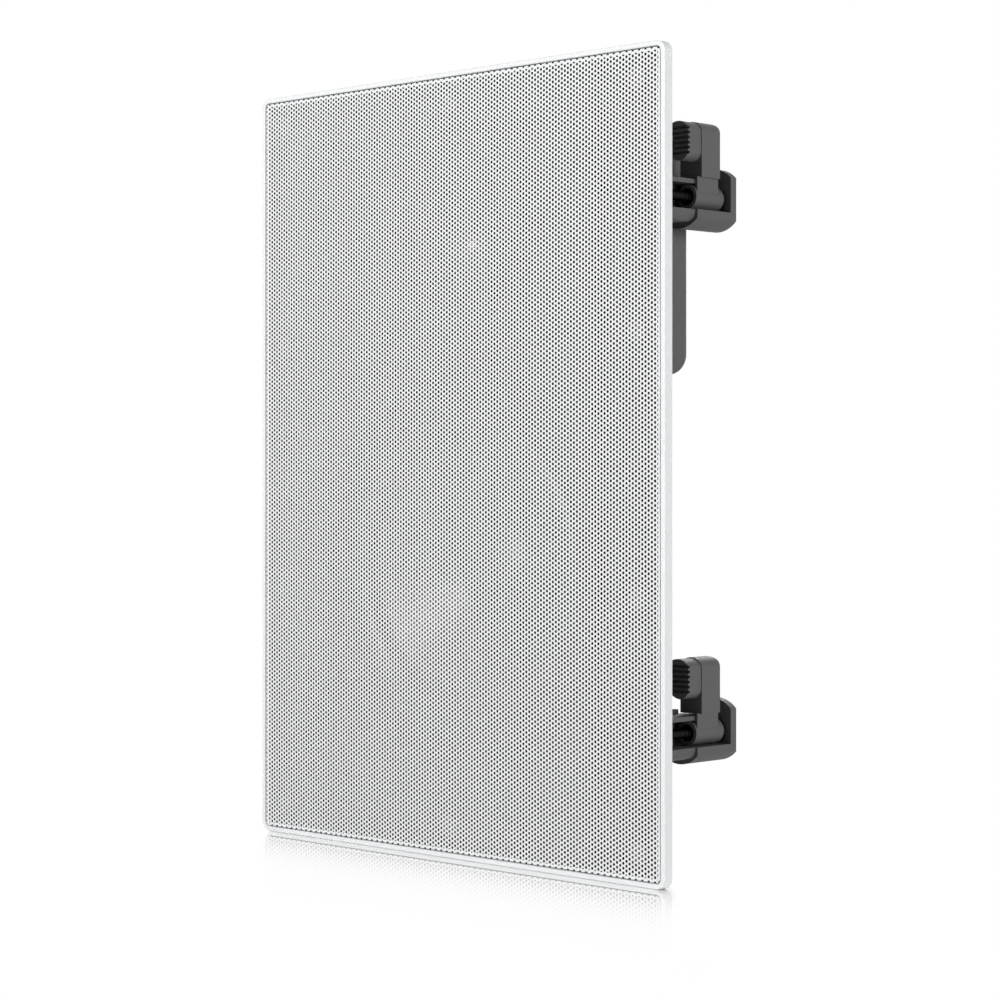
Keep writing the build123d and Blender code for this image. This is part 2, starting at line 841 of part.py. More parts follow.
def crossover_housing():
    middle = Pos(0, tweeter_z)
    body = slab(middle * rounded(housing_w, housing_h, housing_corner_r), baffle_back, housing_back)
    body = fillet(body.edges().group_by(Axis.Y)[-1], housing_back_r)
    for x, z in ear_places():
        inner_x = x - ear_r if x > 0 else x
        body += bar(inner_x, inner_x + ear_r, z - ear_r, z + ear_r, baffle_back, baffle_back + ear_t)
        body += rod(x, z, ear_r, baffle_back, baffle_back + ear_t)
    inner_w = housing_w - 2 * housing_wall
    inner_h = housing_h - 2 * housing_wall
    inner_outline = rounded(inner_w, inner_h, housing_corner_r - housing_wall)
    inside = slab(middle * inner_outline, baffle_back, housing_inside)
    body -= fillet(inside.edges().group_by(Axis.Y)[-1], housing_back_r - housing_wall)
    for x, z in ear_places():
        body -= rod(x, z, ear_screw_r + part_fit, baffle_back - cut_over, baffle_back + ear_t + cut_over)
    pilot_back = circuit_back + post_screw_bite + part_fit
    for x, z in post_places:
        post = rod(x, z, post_r, circuit_back, housing_inside)
        body += post - rod(x, z, post_screw_r + run_fit, circuit_back, pilot_back)
    opening = Pos(0, block_z) * Rectangle(block_w + 2 * part_fit, block_h + 2 * part_fit)
    body -= slab(opening, housing_inside - cut_over, housing_back + cut_over)
    for x in (-tag_spread, tag_spread):
        through = 2 * (housing_wall + cut_over)
        body -= Pos(x, lead_y, housing_low) * Cylinder(lead_r + lead_hole_gap, through)
    return body


def housing_screws():
    head = baffle_back + ear_t
    tip = baffle_back - ear_screw_bite
    return [
        pan_head_screw(x, z, ear_screw_r, ear_screw_head_r, head, ear_screw_head_t, tip)
        for x, z in ear_places()
    ]


def crossover_board():
    outline = Pos(0, circuit_z) * Rectangle(circuit_w, circuit_h)
    for x, z in post_places:
        outline -= Pos(x, z) * Circle(post_screw_r + part_fit)
    return slab(outline, circuit_front, circuit_back)


def board_screws():
    tip = circuit_back + post_screw_bite
    return [
        pan_head_screw(x, z, post_screw_r, post_screw_head_r, circuit_front, post_screw_head_t, tip)
        for x, z in post_places
    ]


def inductor_bobbin():
    front = circuit_front - inductor_h
    body = rod(inductor_x, circuit_z, inductor_core_r, front, circuit_front)
    body += rod(inductor_x, circuit_z, inductor_r, front, front + inductor_cheek_t)
    return body + rod(inductor_x, circuit_z, inductor_r, circuit_front - inductor_cheek_t, circuit_front)


def inductor_winding():
    front = circuit_front - inductor_h + inductor_cheek_t
    back = circuit_front - inductor_cheek_t
    body = rod(inductor_x, circuit_z, inductor_r - inductor_cheek_t, front, back)
    return body - rod(inductor_x, circuit_z, inductor_core_r, front, back)


def crossover_capacitors():
    y = circuit_front - capacitor_r
    return [
        Pos(capacitor_x, y, circuit_z + level * capacitor_spread / 2)
        * Rot(0, 90, 0)
        * Cylinder(capacitor_r, capacitor_l)
        for level in (-1, 1)
    ]


def crossover_resistor():
    outline = Pos(resistor_x, circuit_z) * Rectangle(resistor_w, resistor_l)
    return slab(outline, circuit_front - resistor_w, circuit_front)


def terminal_block():
    body = slab(Pos(0, block_z) * Rectangle(block_w, block_h), block_front, block_back)
    plate_w = block_w + 2 * block_lip
    plate_h = block_h + 2 * block_lip
    body += slab(Pos(0, block_z) * rounded(plate_w, plate_h, block_corner_r), housing_back, block_back)
    pocket_w = lever_w + 2 * open_fit
    pocket_h = lever_h + 2 * open_fit
    for x in (-lever_spread, lever_spread):
        pocket = Pos(x, block_z + lever_z) * Rectangle(pocket_w, pocket_h)
        body -= slab(pocket, spring_front, block_back + cut_over)
        body -= rod(x, block_z + wire_z, wire_bore_r, block_back - wire_bore_depth, block_back + cut_over)
    return body


def terminal_lever(x):
    outline = Pos(x, block_z + lever_z) * Rectangle(lever_w, lever_h)
    body = slab(outline, lever_front, lever_back)
    return fillet(body.edges().group_by(Axis.Y)[-1], lever_edge_r)


def terminal_spring(x):
    length = lever_front - spring_front - 2 * spring_wire_r - 2 * run_fit
    path = Helix(length / spring_turns, length, spring_r)
    section = Plane(origin=path @ 0, z_dir=path % 0) * Circle(spring_wire_r)
    coil = sweep(section, path=path)
    start = spring_front + spring_wire_r + run_fit
    return Pos(x, start, block_z + lever_z) * Rot(-90, 0, 0) * coil


def terminal_contacts():
    z = block_z + wire_z
    return [
        bar(x - contact_w / 2, x + contact_w / 2, z, z + contact_t, block_front - contact_l, block_front)
        for x in (-lever_spread, lever_spread)
    ]


def woofer_leads():
    """Two leads from the tags, up through the housing's floor and back to the board's face."""
    low = tag_board_low + 2 * board_edge
    board_y = circuit_front - lead_r
    board_low = circuit_z - circuit_h / 2
    leads = []
    for x in (-tag_spread, tag_spread):
        path = FilletPolyline(
            (x, lead_y, low),
            (x, lead_y, housing_low + lead_rise),
            (x, board_y, board_low),
            (x, board_y, board_low + lead_reach),
            radius=lead_bend_r,
        )
        leads.append(sweep(Plane(origin=path @ 0, z_dir=path % 0) * Circle(lead_r), path=path))
    return leads


def tweeter_lead_places():
    """Places side by side on the board, in the gap between the inductor and the capacitors."""
    middle = (inductor_x + inductor_r + capacitor_x - capacitor_l / 2) / 2
    z = circuit_z - circuit_h / 2 + lead_reach + tweeter_lead_rise
    return [(middle + side * tweeter_lead_spread, z) for side in (-1, 1)]


def tweeter_tags():
    half = tweeter_tag_w / 2
    return [
        bar(x - half, x + half, z - half, z + half, dome_yoke_back, dome_yoke_back + tag_t)
        for x, z in tweeter_lead_places()
    ]


def tweeter_leads():
    return [
        rod(x, z, lead_r, dome_yoke_back + tag_t, circuit_front)
        for x, z in tweeter_lead_places()
    ]


def clamp_arm():
    side_z = arm_top_z - arm_arch_rise
    outline = Pos(0, (arm_foot_z + side_z) / 2) * Rectangle(arm_w, side_z - arm_foot_z)
    outline += Pos(0, side_z) * Ellipse(arm_w / 2, arm_arch_rise)
    plate = slab(outline, arm_front, arm_back)
    # The back of the arm's top is rounded over, seen from the side.
    corner = Pos(arm_back_r, arm_back_r) * Rectangle(2 * arm_back_r, 2 * arm_back_r) - Circle(arm_back_r)
    corner = Pos(arm_back - arm_back_r, arm_top_z - arm_back_r) * corner
    plate -= extrude(Plane.YZ * corner, amount=arm_w, both=True)
    jaw_half = arm_w / 2 - jaw_inset
    jaw_rise = arm_arch_rise - jaw_inset
    heel_z = jaw_low_z + jaw_heel_rise
    toe_z = jaw_low_z + jaw_rise
    jaw_top = EllipticalCenterArc((0, side_z), jaw_half, jaw_rise, 0, arc_size=180)
    jaw_in = Line((-jaw_half, side_z), (-jaw_half, heel_z))
    jaw_heel = EllipticalCenterArc((jaw_low_x, heel_z), jaw_half + jaw_low_x, jaw_heel_rise, 180, arc_size=90)
    jaw_toe = EllipticalCenterArc((jaw_low_x, toe_z), jaw_half - jaw_low_x, jaw_rise, 270, arc_size=90)
    jaw_out = Line((jaw_half, toe_z), (jaw_half, side_z))
    jaw = slab(make_face([jaw_top, jaw_in, jaw_heel, jaw_toe, jaw_out]), jaw_front, arm_front)
    for tooth in range(tooth_count):
        low = tooth_low_z + tooth * tooth_pitch
        groove = Polyline(
            (jaw_front, low + tooth_land),
            (jaw_front + tooth_depth, low + tooth_pitch / 2),
            (jaw_front, low + tooth_pitch - tooth_land),
            close=True,
        )
        jaw -= extrude(Plane.YZ * make_face(groove), amount=arm_w, both=True)
    neck_in = shelf_out + open_fit
    neck_z = arm_foot_z + open_fit
    neck = bar(neck_in, neck_in + neck_t, 0, neck_z, barrel_front + neck_end, arm_back)
    barrel = rod(0, 0, barrel_r, barrel_front, barrel_back)
    bore = rod(0, 0, bush_r + run_fit, barrel_front - cut_over, barrel_back + cut_over)
    return plate + jaw + neck + barrel - bore


def clamp_bush():
    body = rod(0, 0, bush_r, barrel_front, bush_back)
    body += rod(0, 0, bush_flange_r, barrel_back + run_fit, bush_back)
    return body - rod(0, 0, clamp_screw_r + run_fit, barrel_front - cut_over, bush_back + cut_over)


def clamp_screw():
    seat = baffle_front - run_fit
    head_front = seat - clamp_head_t
    body = rod(0, 0, clamp_screw_r, seat, screw_tip) + rod(0, 0, clamp_head_r, head_front, seat)
    half_l = clamp_recess_l / 2
    half_w = clamp_recess_w / 2
    floor = head_front + clamp_recess_depth
    body -= bar(-half_l, half_l, -half_w, half_w, head_front - cut_over, floor)
    return body - bar(-half_w, half_w, -half_l, half_l, head_front - cut_over, floor)


def clamp_rings():
    ring = rod(0, 0, ring_r, baffle_back, baffle_back + ring_t)
    ring -= rod(0, 0, clamp_screw_r + run_fit, baffle_back - cut_over, baffle_back + ring_t + cut_over)
    return [clamp_place(side, level) * ring for side, level in clamps.values()]


nodes = {
    "bezel": bezel(),
    "grille": grille(),
    "grille_magnets": grille_magnets(),
    "chassis": chassis(),
    "woofer_basket": woofer_basket(),
    "woofer_gasket": woofer_gasket(),
    "woofer_screws": woofer_screws(),
    "woofer_surround": woofer_surround(),
    "woofer_cone": woofer_cone(),
    "woofer_dust_cap": woofer_dust_cap(),
    "woofer_coil_former": woofer_coil_former(),
    "woofer_voice_coil": woofer_voice_coil(),
    "woofer_spider": woofer_spider(),
    "woofer_top_plate": woofer_top_plate(),
    "woofer_magnet": woofer_magnet(),
    "woofer_yoke": woofer_yoke(),
    "woofer_tag_board": woofer_tag_board(),
    "woofer_tags": woofer_tags(),
    "tweeter_faceplate": tweeter_faceplate(),
    "tweeter_screws": tweeter_screws(),
    "tweeter_dome": tweeter_dome(),
    "tweeter_surround": tweeter_surround(),
    "tweeter_voice_coil": tweeter_voice_coil(),
    "tweeter_top_plate": tweeter_top_plate(),
    "tweeter_magnet": tweeter_magnet(),
    "tweeter_yoke": tweeter_yoke(),
    "tweeter_tags": tweeter_tags(),
    "crossover_housing": crossover_housing(),
    "housing_screws": housing_screws(),
    "crossover_board": crossover_board(),
    "board_screws": board_screws(),
    "inductor_bobbin": inductor_bobbin(),
    "inductor_winding": inductor_winding(),
    "crossover_capacitors": crossover_capacitors(),
    "crossover_resistor": crossover_resistor(),
    "terminal_block": terminal_block(),
    "terminal_lever_red": terminal_lever(-lever_spread),
    "terminal_lever_black": terminal_lever(lever_spread),
    "terminal_spring_red": terminal_spring(-lever_spread),
    "terminal_spring_black": terminal_spring(lever_spread),
    "terminal_contacts": terminal_contacts(),
    "woofer_leads": woofer_leads(),
    "tweeter_leads": tweeter_leads(),
    "clamp_rings": clamp_rings(),
}
for clamp, (side, level) in clamps.items():
    place = clamp_place(side, level)
    nodes[f"clamp_arm_{clamp}"] = place * clamp_arm()
    nodes[f"clamp_bush_{clamp}"] = place * clamp_bush()
    nodes[f"clamp_screw_{clamp}"] = place * clamp_screw()

os.makedirs("parts", exist_ok=True)
for name, shape in nodes.items():
    if isinstance(shape, list):
        shape = Compound(children=shape)
    export_step(shape, f"parts/{name}.step")
print(f"panel {panel_w:.1f} x {panel_h:.1f}, tub {tub_w:.1f} x {tub_h:.1f}")
print(f"woofer z {woofer_z:.2f}, tweeter z {tweeter_z:.2f}, clamps {clamp_x:.2f}, {clamp_z:.2f}")
print(f"jaw front {jaw_front:.2f}, tower back {tower_back:.2f}, housing back {housing_back:.2f}")
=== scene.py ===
import math

import bmesh
import bpy
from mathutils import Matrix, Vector


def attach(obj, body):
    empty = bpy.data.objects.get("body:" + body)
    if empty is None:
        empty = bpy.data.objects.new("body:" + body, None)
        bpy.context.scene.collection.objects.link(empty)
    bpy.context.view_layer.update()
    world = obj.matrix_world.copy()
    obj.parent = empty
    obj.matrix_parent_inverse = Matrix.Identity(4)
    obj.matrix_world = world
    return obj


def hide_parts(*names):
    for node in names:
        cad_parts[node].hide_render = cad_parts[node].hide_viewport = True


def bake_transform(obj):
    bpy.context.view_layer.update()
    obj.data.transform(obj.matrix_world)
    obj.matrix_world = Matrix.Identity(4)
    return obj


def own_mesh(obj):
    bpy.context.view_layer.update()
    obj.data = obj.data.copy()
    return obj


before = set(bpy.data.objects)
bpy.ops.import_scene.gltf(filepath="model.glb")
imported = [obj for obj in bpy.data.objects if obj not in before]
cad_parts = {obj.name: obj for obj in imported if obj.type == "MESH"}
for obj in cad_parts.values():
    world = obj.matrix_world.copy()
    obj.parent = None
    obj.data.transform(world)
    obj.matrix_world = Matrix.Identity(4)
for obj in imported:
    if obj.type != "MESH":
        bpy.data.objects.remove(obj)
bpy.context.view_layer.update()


# Chassis: one moulding that makes the flange, the shallow tub, the woofer's well and the four clamp towers.
# It is dark grey ABS from a spark-eroded steel mould, and low ribs on its back keep the thin baffle flat.
mm = 0.001
woofer_z = -41.0
well_outer_r = 74.5
baffle_back = 3.5
rib_h = 4.0
rib_foot_t = 1.8
rib_top_t = 1.4
rib_root = 0.2
skirt_inner_x = 87.3
skirt_inner_z = -132.3
tie_x = 79.5
tie_low_z = -89.5
tie_high_z = 88.0
low_ribs_z = (-70.0, woofer_z, -12.0)
high_ribs_z = (20.0, 60.0, 75.0)
high_rib_lap = 8.0
spoke_degrees = (-62.0, -76.0, -90.0, -104.0, -118.0)


def linear(code):
    """Linear colour from an sRGB hex value."""
    channels = [int(code[i : i + 2], 16) / 255 for i in (1, 3, 5)]
    return [c / 12.92 if c <= 0.04045 else ((c + 0.055) / 1.055) ** 2.4 for c in channels] + [1.0]


def add(material, kind, sockets=None, **settings):
    """One node: a socket takes a value or another node's output, and settings are the node's own options."""
    tree = material.node_tree
    node = tree.nodes.new("ShaderNode" + kind)
    for name, value in settings.items():
        setattr(node, name, value)
    for name, value in (sockets or {}).items():
        if isinstance(value, bpy.types.NodeSocket):
            tree.links.new(value, node.inputs[name])
        else:
            node.inputs[name].default_value = value
    return node


def blank(name):
    """A material with no nodes yet, and the place on the piece in metres."""
    material = bpy.data.materials.new(name)
    material.use_nodes = True
    material.node_tree.nodes.clear()
    return material, add(material, "TexCoord").outputs["Object"]


def mottled(material, place, size, low, high):
    """Colour drifting between two sRGB tones over patches of a size in millimetres, and the drift itself."""
    patches = {"Vector": place, "Scale": 1 / (size * mm), "Detail": 3.0}
    drift = add(material, "TexNoise", patches).outputs["Fac"]
    tones = add(material, "Mix", {0: drift, 6: linear(low), 7: linear(high)}, data_type="RGBA")
    return tones.outputs[2], drift


def worn_smooth(material, drift, low, high):
    """Roughness that follows the drift between two values."""
    return add(material, "MapRange", {0: drift, 3: low, 4: high}).outputs[0]


def relief(material, height, depth):
    """Surface normal of a relief whose full height is a depth in millimetres."""
    return add(material, "Bump", {"Height": height, "Distance": depth * mm, "Strength": 1.0}).outputs[0]


def coat(material, sockets):
    """Ends the material in one shader with these sockets."""
    shader = add(material, "BsdfPrincipled", sockets)
    add(material, "OutputMaterial", {"Surface": shader.outputs[0]})
    return material


def grained(name, low, high, tone, rough, grain, depth, **sockets):
    """A material of one substance: tones drifting over patches, and a fine grain; sizes in millimetres."""
    material, place = blank(name)
    colour, drift = mottled(material, place, tone, low, high)
    specks = {"Vector": place, "Scale": 1 / (grain * mm), "Detail": 2.0}
    fine = add(material, "TexNoise", specks).outputs["Fac"]
    return coat(
        material,
        {
            "Base Color": colour,
            "Roughness": worn_smooth(material, drift, *rough),
            "Normal": relief(material, fine, depth),
            **{key.replace("_", " "): value for key, value in sockets.items()},
        },
    )


def dress(material, *names):
    """Gives CAD nodes this material."""
    for name in names:
        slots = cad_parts[name].data.materials
        slots.clear()
        slots.append(material)


def piece(name, mesh, material, body=None, stands_for=()):
    """A new piece from a mesh: its finish, the body that it rides on and the CAD nodes that it stands for."""
    made = bpy.data.objects.new(name, mesh)
    bpy.context.scene.collection.objects.link(made)
    mesh.materials.append(material)
    if body:
        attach(made, body)
    if stands_for:
        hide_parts(*stands_for)
    return made


def mesh_of(name, points, faces):
    """A mesh from points in millimetres, with its faces turned outwards."""
    mesh = bpy.data.meshes.new(name)
    mesh.from_pydata([tuple(c * mm for c in p) for p in points], [], faces)
    shape = bmesh.new()
    shape.from_mesh(mesh)
    bmesh.ops.recalc_face_normals(shape, faces=shape.faces)
    shape.to_mesh(mesh)
    shape.free()
    return mesh


# ABS from a spark-eroded mould looks dull and even, with a fine grain that scatters the light.
# The grain of 0.5 mm is drawn about twice as coarse as the real one, so that it shows.
abs_tones = ("#5A5A5B", "#606061")
abs_patch = 9.0
abs_rough = (0.55, 0.68)
abs_grain = 0.5
abs_grain_depth = 0.03
abs_shine = 0.3
moulded_abs = grained(
    "ABS_spark_eroded",
    *abs_tones,
    tone=abs_patch,
    rough=abs_rough,
    grain=abs_grain,
    depth=abs_grain_depth,
    Specular_IOR_Level=abs_shine,
)

# The front is sprayed satin black over the ABS, and its dark tone is also painted shade for the inside behind
# the grille's holes, so that the baffle sinks away there and only the bead round the woofer's well catches
# the light. The spray covers what lies in front of its edge and doesn't face into the wall.
spray_and_shade_tone = "#262627"
spray_and_shade_edge = 3.3
spray_rough = 0.36
spray_and_shade_turn = 0.5
sprayed_and_shaded_abs, chassis_place = blank("ABS_front_sprayed_black_and_painted_shade")
bare_tones, bare_drift = mottled(sprayed_and_shaded_abs, chassis_place, abs_patch, *abs_tones)
chassis_depth = add(sprayed_and_shaded_abs, "SeparateXYZ", {0: chassis_place}).outputs["Y"]
chassis_facing = add(sprayed_and_shaded_abs, "TexCoord").outputs["Normal"]
facing_in = add(sprayed_and_shaded_abs, "SeparateXYZ", {0: chassis_facing}).outputs["Y"]
in_front = add(sprayed_and_shaded_abs, "Math", {0: chassis_depth, 1: spray_and_shade_edge * mm}, operation="LESS_THAN").outputs[0]
to_the_room = add(sprayed_and_shaded_abs, "Math", {0: facing_in, 1: spray_and_shade_turn}, operation="LESS_THAN").outputs[0]
spray_and_shade_share = add(sprayed_and_shaded_abs, "Math", {0: in_front, 1: to_the_room}, operation="MULTIPLY").outputs[0]
# Painted shade: the dark spray tone mixed in here also stands in for the shade behind the grille's holes.
chassis_tones = add(sprayed_and_shaded_abs, "Mix", {0: spray_and_shade_share, 6: bare_tones, 7: linear(spray_and_shade_tone)}, data_type="RGBA")
chassis_rough = {0: spray_and_shade_share, 2: worn_smooth(sprayed_and_shaded_abs, bare_drift, *abs_rough), 3: spray_rough}
chassis_specks = {"Vector": chassis_place, "Scale": 1 / (abs_grain * mm), "Detail": 2.0}
chassis_grain = add(sprayed_and_shaded_abs, "TexNoise", chassis_specks)
coat(
    sprayed_and_shaded_abs,
    {
        "Base Color": chassis_tones.outputs[2],
        "Roughness": add(sprayed_and_shaded_abs, "Mix", chassis_rough, data_type="FLOAT").outputs[0],
        "Normal": relief(sprayed_and_shaded_abs, chassis_grain.outputs["Fac"], abs_grain_depth),
        "Specular IOR Level": abs_shine,
    },
)
dress(sprayed_and_shaded_abs, "chassis")


def spoke(degrees, reach):
    """Rib from the well's wall outwards, as two places (x, z); reach is how far along it ends."""
    across, up = math.cos(math.radians(degrees)), math.sin(math.radians(degrees))
    start = well_outer_r - rib_root
    return (start * across, woofer_z + start * up), (reach * across, woofer_z + reach * up)


rib_runs = []
for side in (-1, 1):
    for level in low_ribs_z:
        run = math.sqrt(well_outer_r**2 - (level - woofer_z) ** 2) - rib_root
        rib_runs.append(((side * run, level), (side * skirt_inner_x, level)))
    for level in high_ribs_z:
        rib_runs.append(((side * (tie_x - high_rib_lap), level), (side * skirt_inner_x, level)))
    tie_low, tie_high = (tie_low_z, tie_high_z) if side > 0 else (-tie_high_z, -tie_low_z)
    rib_runs.append(((side * tie_x, tie_low), (side * tie_x, tie_high)))
for degrees in spoke_degrees:
    reach = (skirt_inner_z - woofer_z) / math.sin(math.radians(degrees))
    rib_runs.append(spoke(degrees, reach))
rib_points, rib_faces = [], []
for (x0, z0), (x1, z1) in rib_runs:
    length = math.hypot(x1 - x0, z1 - z0)
    nx, nz = -(z1 - z0) / length, (x1 - x0) / length
    first = len(rib_points)
    for y, t in ((baffle_back - rib_root, rib_foot_t), (baffle_back + rib_h, rib_top_t)):
        for x, z, s in ((x0, z0, -1), (x1, z1, -1), (x1, z1, 1), (x0, z0, 1)):
            rib_points.append((x + s * nx * t / 2, y, z + s * nz * t / 2))
    rib_faces.append([first, first + 1, first + 2, first + 3])
    rib_faces.append([first + 4, first + 5, first + 6, first + 7])
    for i in range(4):
        j = (i + 1) % 4
        rib_faces.append([first + i, first + j, first + 4 + j, first + 4 + i])
rib_mesh = mesh_of("baffle_ribs", rib_points, rib_faces)
piece("baffle_ribs", rib_mesh, moulded_abs, "speaker")


# Tweeter: a moulded faceplate with a short horn, a coated silk dome on its roll, and a small ferrite motor.
# Three black screws in sunk seats hold it to the baffle, and its two tags face the crossover.

# Black-oxide steel is nearly black but still shines like metal where a tool has rubbed it.
black_oxide = grained(
    "steel_black_oxide",
    "#18181A",
    "#242425",
    tone=1.5,
    rough=(0.32, 0.5),
    grain=0.3,
    depth=0.01,
    Metallic=1.0,
)

# Zinc-plated steel is a cool pale grey, softly mirrored, with cloudy patches from the plating bath.
zinc_plated = grained(
    "steel_zinc_plated",
    "#A6A8AA",
    "#BDBDB9",
    tone=3.0,
    rough=(0.26, 0.42),
    grain=0.4,
    depth=0.008,
    Metallic=1.0,
)

# Sintered ferrite is a dull charcoal ceramic with a gritty skin.
sintered_ferrite = grained(
    "ferrite_sintered", "#2C2C2D", "#39393A", tone=2.0, rough=(0.66, 0.84), grain=0.6, depth=0.05
)

# Tinned brass is a warm white metal, a little uneven where the solder bath ran off it.
tinned_brass = grained(
    "brass_hot_tinned",
    "#C9C0A4",
    "#D8D3C2",
    tone=1.6,
    rough=(0.22, 0.38),
    grain=0.5,
    depth=0.015,
    Metallic=1.0,
)

cloth_patch = 7.0
coil_patch = 3.0
coil_rough = (0.2, 0.34)


def woven(name, low, high, thread, depth, **sockets):
    """Plain weave whose threads are a spacing in millimetres apart, over and under each other."""
    material, place = blank(name)
    colour, _ = mottled(material, place, cloth_patch, low, high)
    bands = {"Vector": place, "Scale": math.pi / (10 * thread * mm), "Distortion": 0.4, "Detail": 1.0}
    across = add(material, "TexWave", bands, bands_direction="X").outputs["Fac"]
    along = add(material, "TexWave", bands, bands_direction="Z").outputs["Fac"]
    weave = add(material, "Math", {0: across, 1: along}, operation="ADD").outputs[0]
    return coat(
        material,
        {
            "Base Color": colour,
            "Normal": relief(material, weave, depth),
            **{key.replace("_", " "): value for key, value in sockets.items()},
        },
    )


# Silk with a damping coat shows its weave under a soft shine, and a small clear highlight on the dome.
coated_silk = woven(
    "silk_damped_dome",
    "#242426",
    "#2C2C2E",
    thread=0.35,
    depth=0.02,
    Roughness=0.32,
    Coat_Weight=0.6,
    Coat_Roughness=0.12,
)


def wound(name, low, high, wire):
    """Enamelled wire laid turn by turn along Y, its diameter in millimetres."""
    material, place = blank(name)
    colour, drift = mottled(material, place, coil_patch, low, high)
    bands = {"Vector": place, "Scale": math.pi / (10 * wire * mm)}
    turns = add(material, "TexWave", bands, bands_direction="Y").outputs["Fac"]
    return coat(
        material,
        {
            "Base Color": colour,
            "Metallic": 1.0,
            "Roughness": worn_smooth(material, drift, *coil_rough),
            "Normal": relief(material, turns, wire / 3),
            "Coat Weight": 0.5,
        },
    )


# Enamelled copper wire is a bright orange metal under clear varnish, in close even turns.
fine_coil = wound("copper_enamelled_fine", "#B06A3C", "#C47C4A", wire=0.25)

# Black ABS from the same kind of mould is as dull as the grey, and nearly as dark as the sprayed baffle.
black_abs = grained(
    "ABS_spark_eroded_black",
    "#262627",
    "#2C2C2D",
    tone=abs_patch,
    rough=abs_rough,
    grain=abs_grain,
    depth=abs_grain_depth,
    Specular_IOR_Level=abs_shine,
)
dress(black_abs, "tweeter_faceplate")
dress(black_oxide, "tweeter_screws")
dress(coated_silk, "tweeter_dome", "tweeter_surround")
dress(fine_coil, "tweeter_voice_coil")
dress(zinc_plated, "tweeter_top_plate", "tweeter_yoke")
dress(sintered_ferrite, "tweeter_magnet")
dress(tinned_brass, "tweeter_tags")


# Woofer frame and motor: a pressed steel basket, black from its electro-coat, on a foam gasket in the well.
# A ferrite ring between zinc-plated plates is glued behind it, and a fibre board carries two solder tags.

# Electro-coated steel is a thin even black film, half glossy, with a slight orange-peel.
electro_coat = grained(
    "steel_electro_coated", "#19191A", "#212122", tone=6.0, rough=(0.3, 0.42), grain=1.4, depth=0.02
)

# Phenolic paper board is a warm brown sheet with a faint fibrous figure.
phenolic = grained(
    "phenolic_paper_board", "#7E5429", "#956633", tone=4.0, rough=(0.38, 0.52), grain=0.4, depth=0.015
)

# Closed-cell foam is matt black, pitted all over with cut cells of about 0.6 mm.
foam_patch = 3.0
foam_cell = 0.6
foam_pit = 0.12
closed_foam, foam_place = blank("EVA_foam_closed_cell")
foam_colour, _ = mottled(closed_foam, foam_place, foam_patch, "#232324", "#303031")
foam_cells = add(closed_foam, "TexVoronoi", {"Vector": foam_place, "Scale": 1 / (foam_cell * mm)})
coat(
    closed_foam,
    {
        "Base Color": foam_colour,
        "Roughness": 0.9,
        "Normal": relief(closed_foam, foam_cells.outputs["Distance"], foam_pit),
    },
)
dress(electro_coat, "woofer_basket")
dress(closed_foam, "woofer_gasket")
dress(black_oxide, "woofer_screws")
dress(zinc_plated, "woofer_top_plate", "woofer_yoke")
dress(sintered_ferrite, "woofer_magnet")
dress(phenolic, "woofer_tag_board")
dress(tinned_brass, "woofer_tags")


# Woofer spider and surround: the corrugated cloth disc and the rubber roll that carry the cone.
# Their outer rims are glued to the basket and their inner rims to the cone.
sector_count = 24
sector_steps = 4
ring_crease = 50.0
basket_front = 8.0
ledge_front = 33.0


def ring_sector(name, front, back, index):
    """One slice of a ring about the woofer's axis, between matching front and back (radius, depth) lines."""
    turn = 2 * math.pi / sector_count
    section = list(front) + list(back)[::-1]
    count = len(section)
    points = []
    for step in range(sector_steps + 1):
        angle = turn * (index + step / sector_steps)
        points += [(r * math.cos(angle), y, woofer_z + r * math.sin(angle)) for r, y in section]
    faces = []
    for step in range(sector_steps):
        for i in range(count):
            j = (i + 1) % count
            near, far = step * count, (step + 1) * count
            faces.append([near + i, near + j, far + j, far + i])
    for base in (0, sector_steps * count):
        for i in range(len(front) - 1):
            faces.append([base + i, base + i + 1, base + count - 2 - i, base + count - 1 - i])
    mesh = mesh_of(name, points, faces)
    mesh.shade_smooth()
    mesh.set_sharp_from_angle(angle=math.radians(ring_crease))
    return mesh


def hung_ring(node, front, back, material):
    """A ring made in slices about the woofer's axis, which stand for one CAD node."""
    for index in range(sector_count):
        name = f"{node}_{index:02d}"
        made = piece(name, ring_sector(name, front, back, index), material, stands_for=[node])
        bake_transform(made)


# Resin-stiffened cotton is an amber cloth with an open weave, about 0.7 mm from thread to thread.
resin_cloth = woven(
    "cotton_resin_weave", "#A57E3C", "#BC9650", thread=0.7, depth=0.1, Roughness=0.82, Sheen_Weight=0.2
)
spider_t = 0.6
spider_wave = 1.1
spider_inner_r = 13.3
spider_rim_r = 38.5
spider_outer_r = 45.5
half_waves = 10
wave_w = (spider_rim_r - spider_inner_r) / (half_waves + 1)
wave_points = 6
wave_r = ((wave_w / 2) ** 2 + spider_wave**2) / (2 * spider_wave)
spider_line = [(spider_inner_r, 0.0), (spider_inner_r + wave_w, 0.0)]
for wave in range(half_waves):
    away = 1 if wave % 2 else -1
    middle = spider_inner_r + wave_w * (wave + 1.5)
    for k in range(1, wave_points + 1):
        along = wave_w * (k / wave_points - 0.5)
        rise = math.sqrt(max(wave_r**2 - along**2, 0)) - (wave_r - spider_wave)
        spider_line.append((middle + along, away * max(rise, 0.0)))
spider_line.append((spider_outer_r, 0.0))
hung_ring(
    "woofer_spider",
    [(r, ledge_front - spider_t + y) for r, y in spider_line],
    [(r, ledge_front + y) for r, y in spider_line],
    resin_cloth,
)

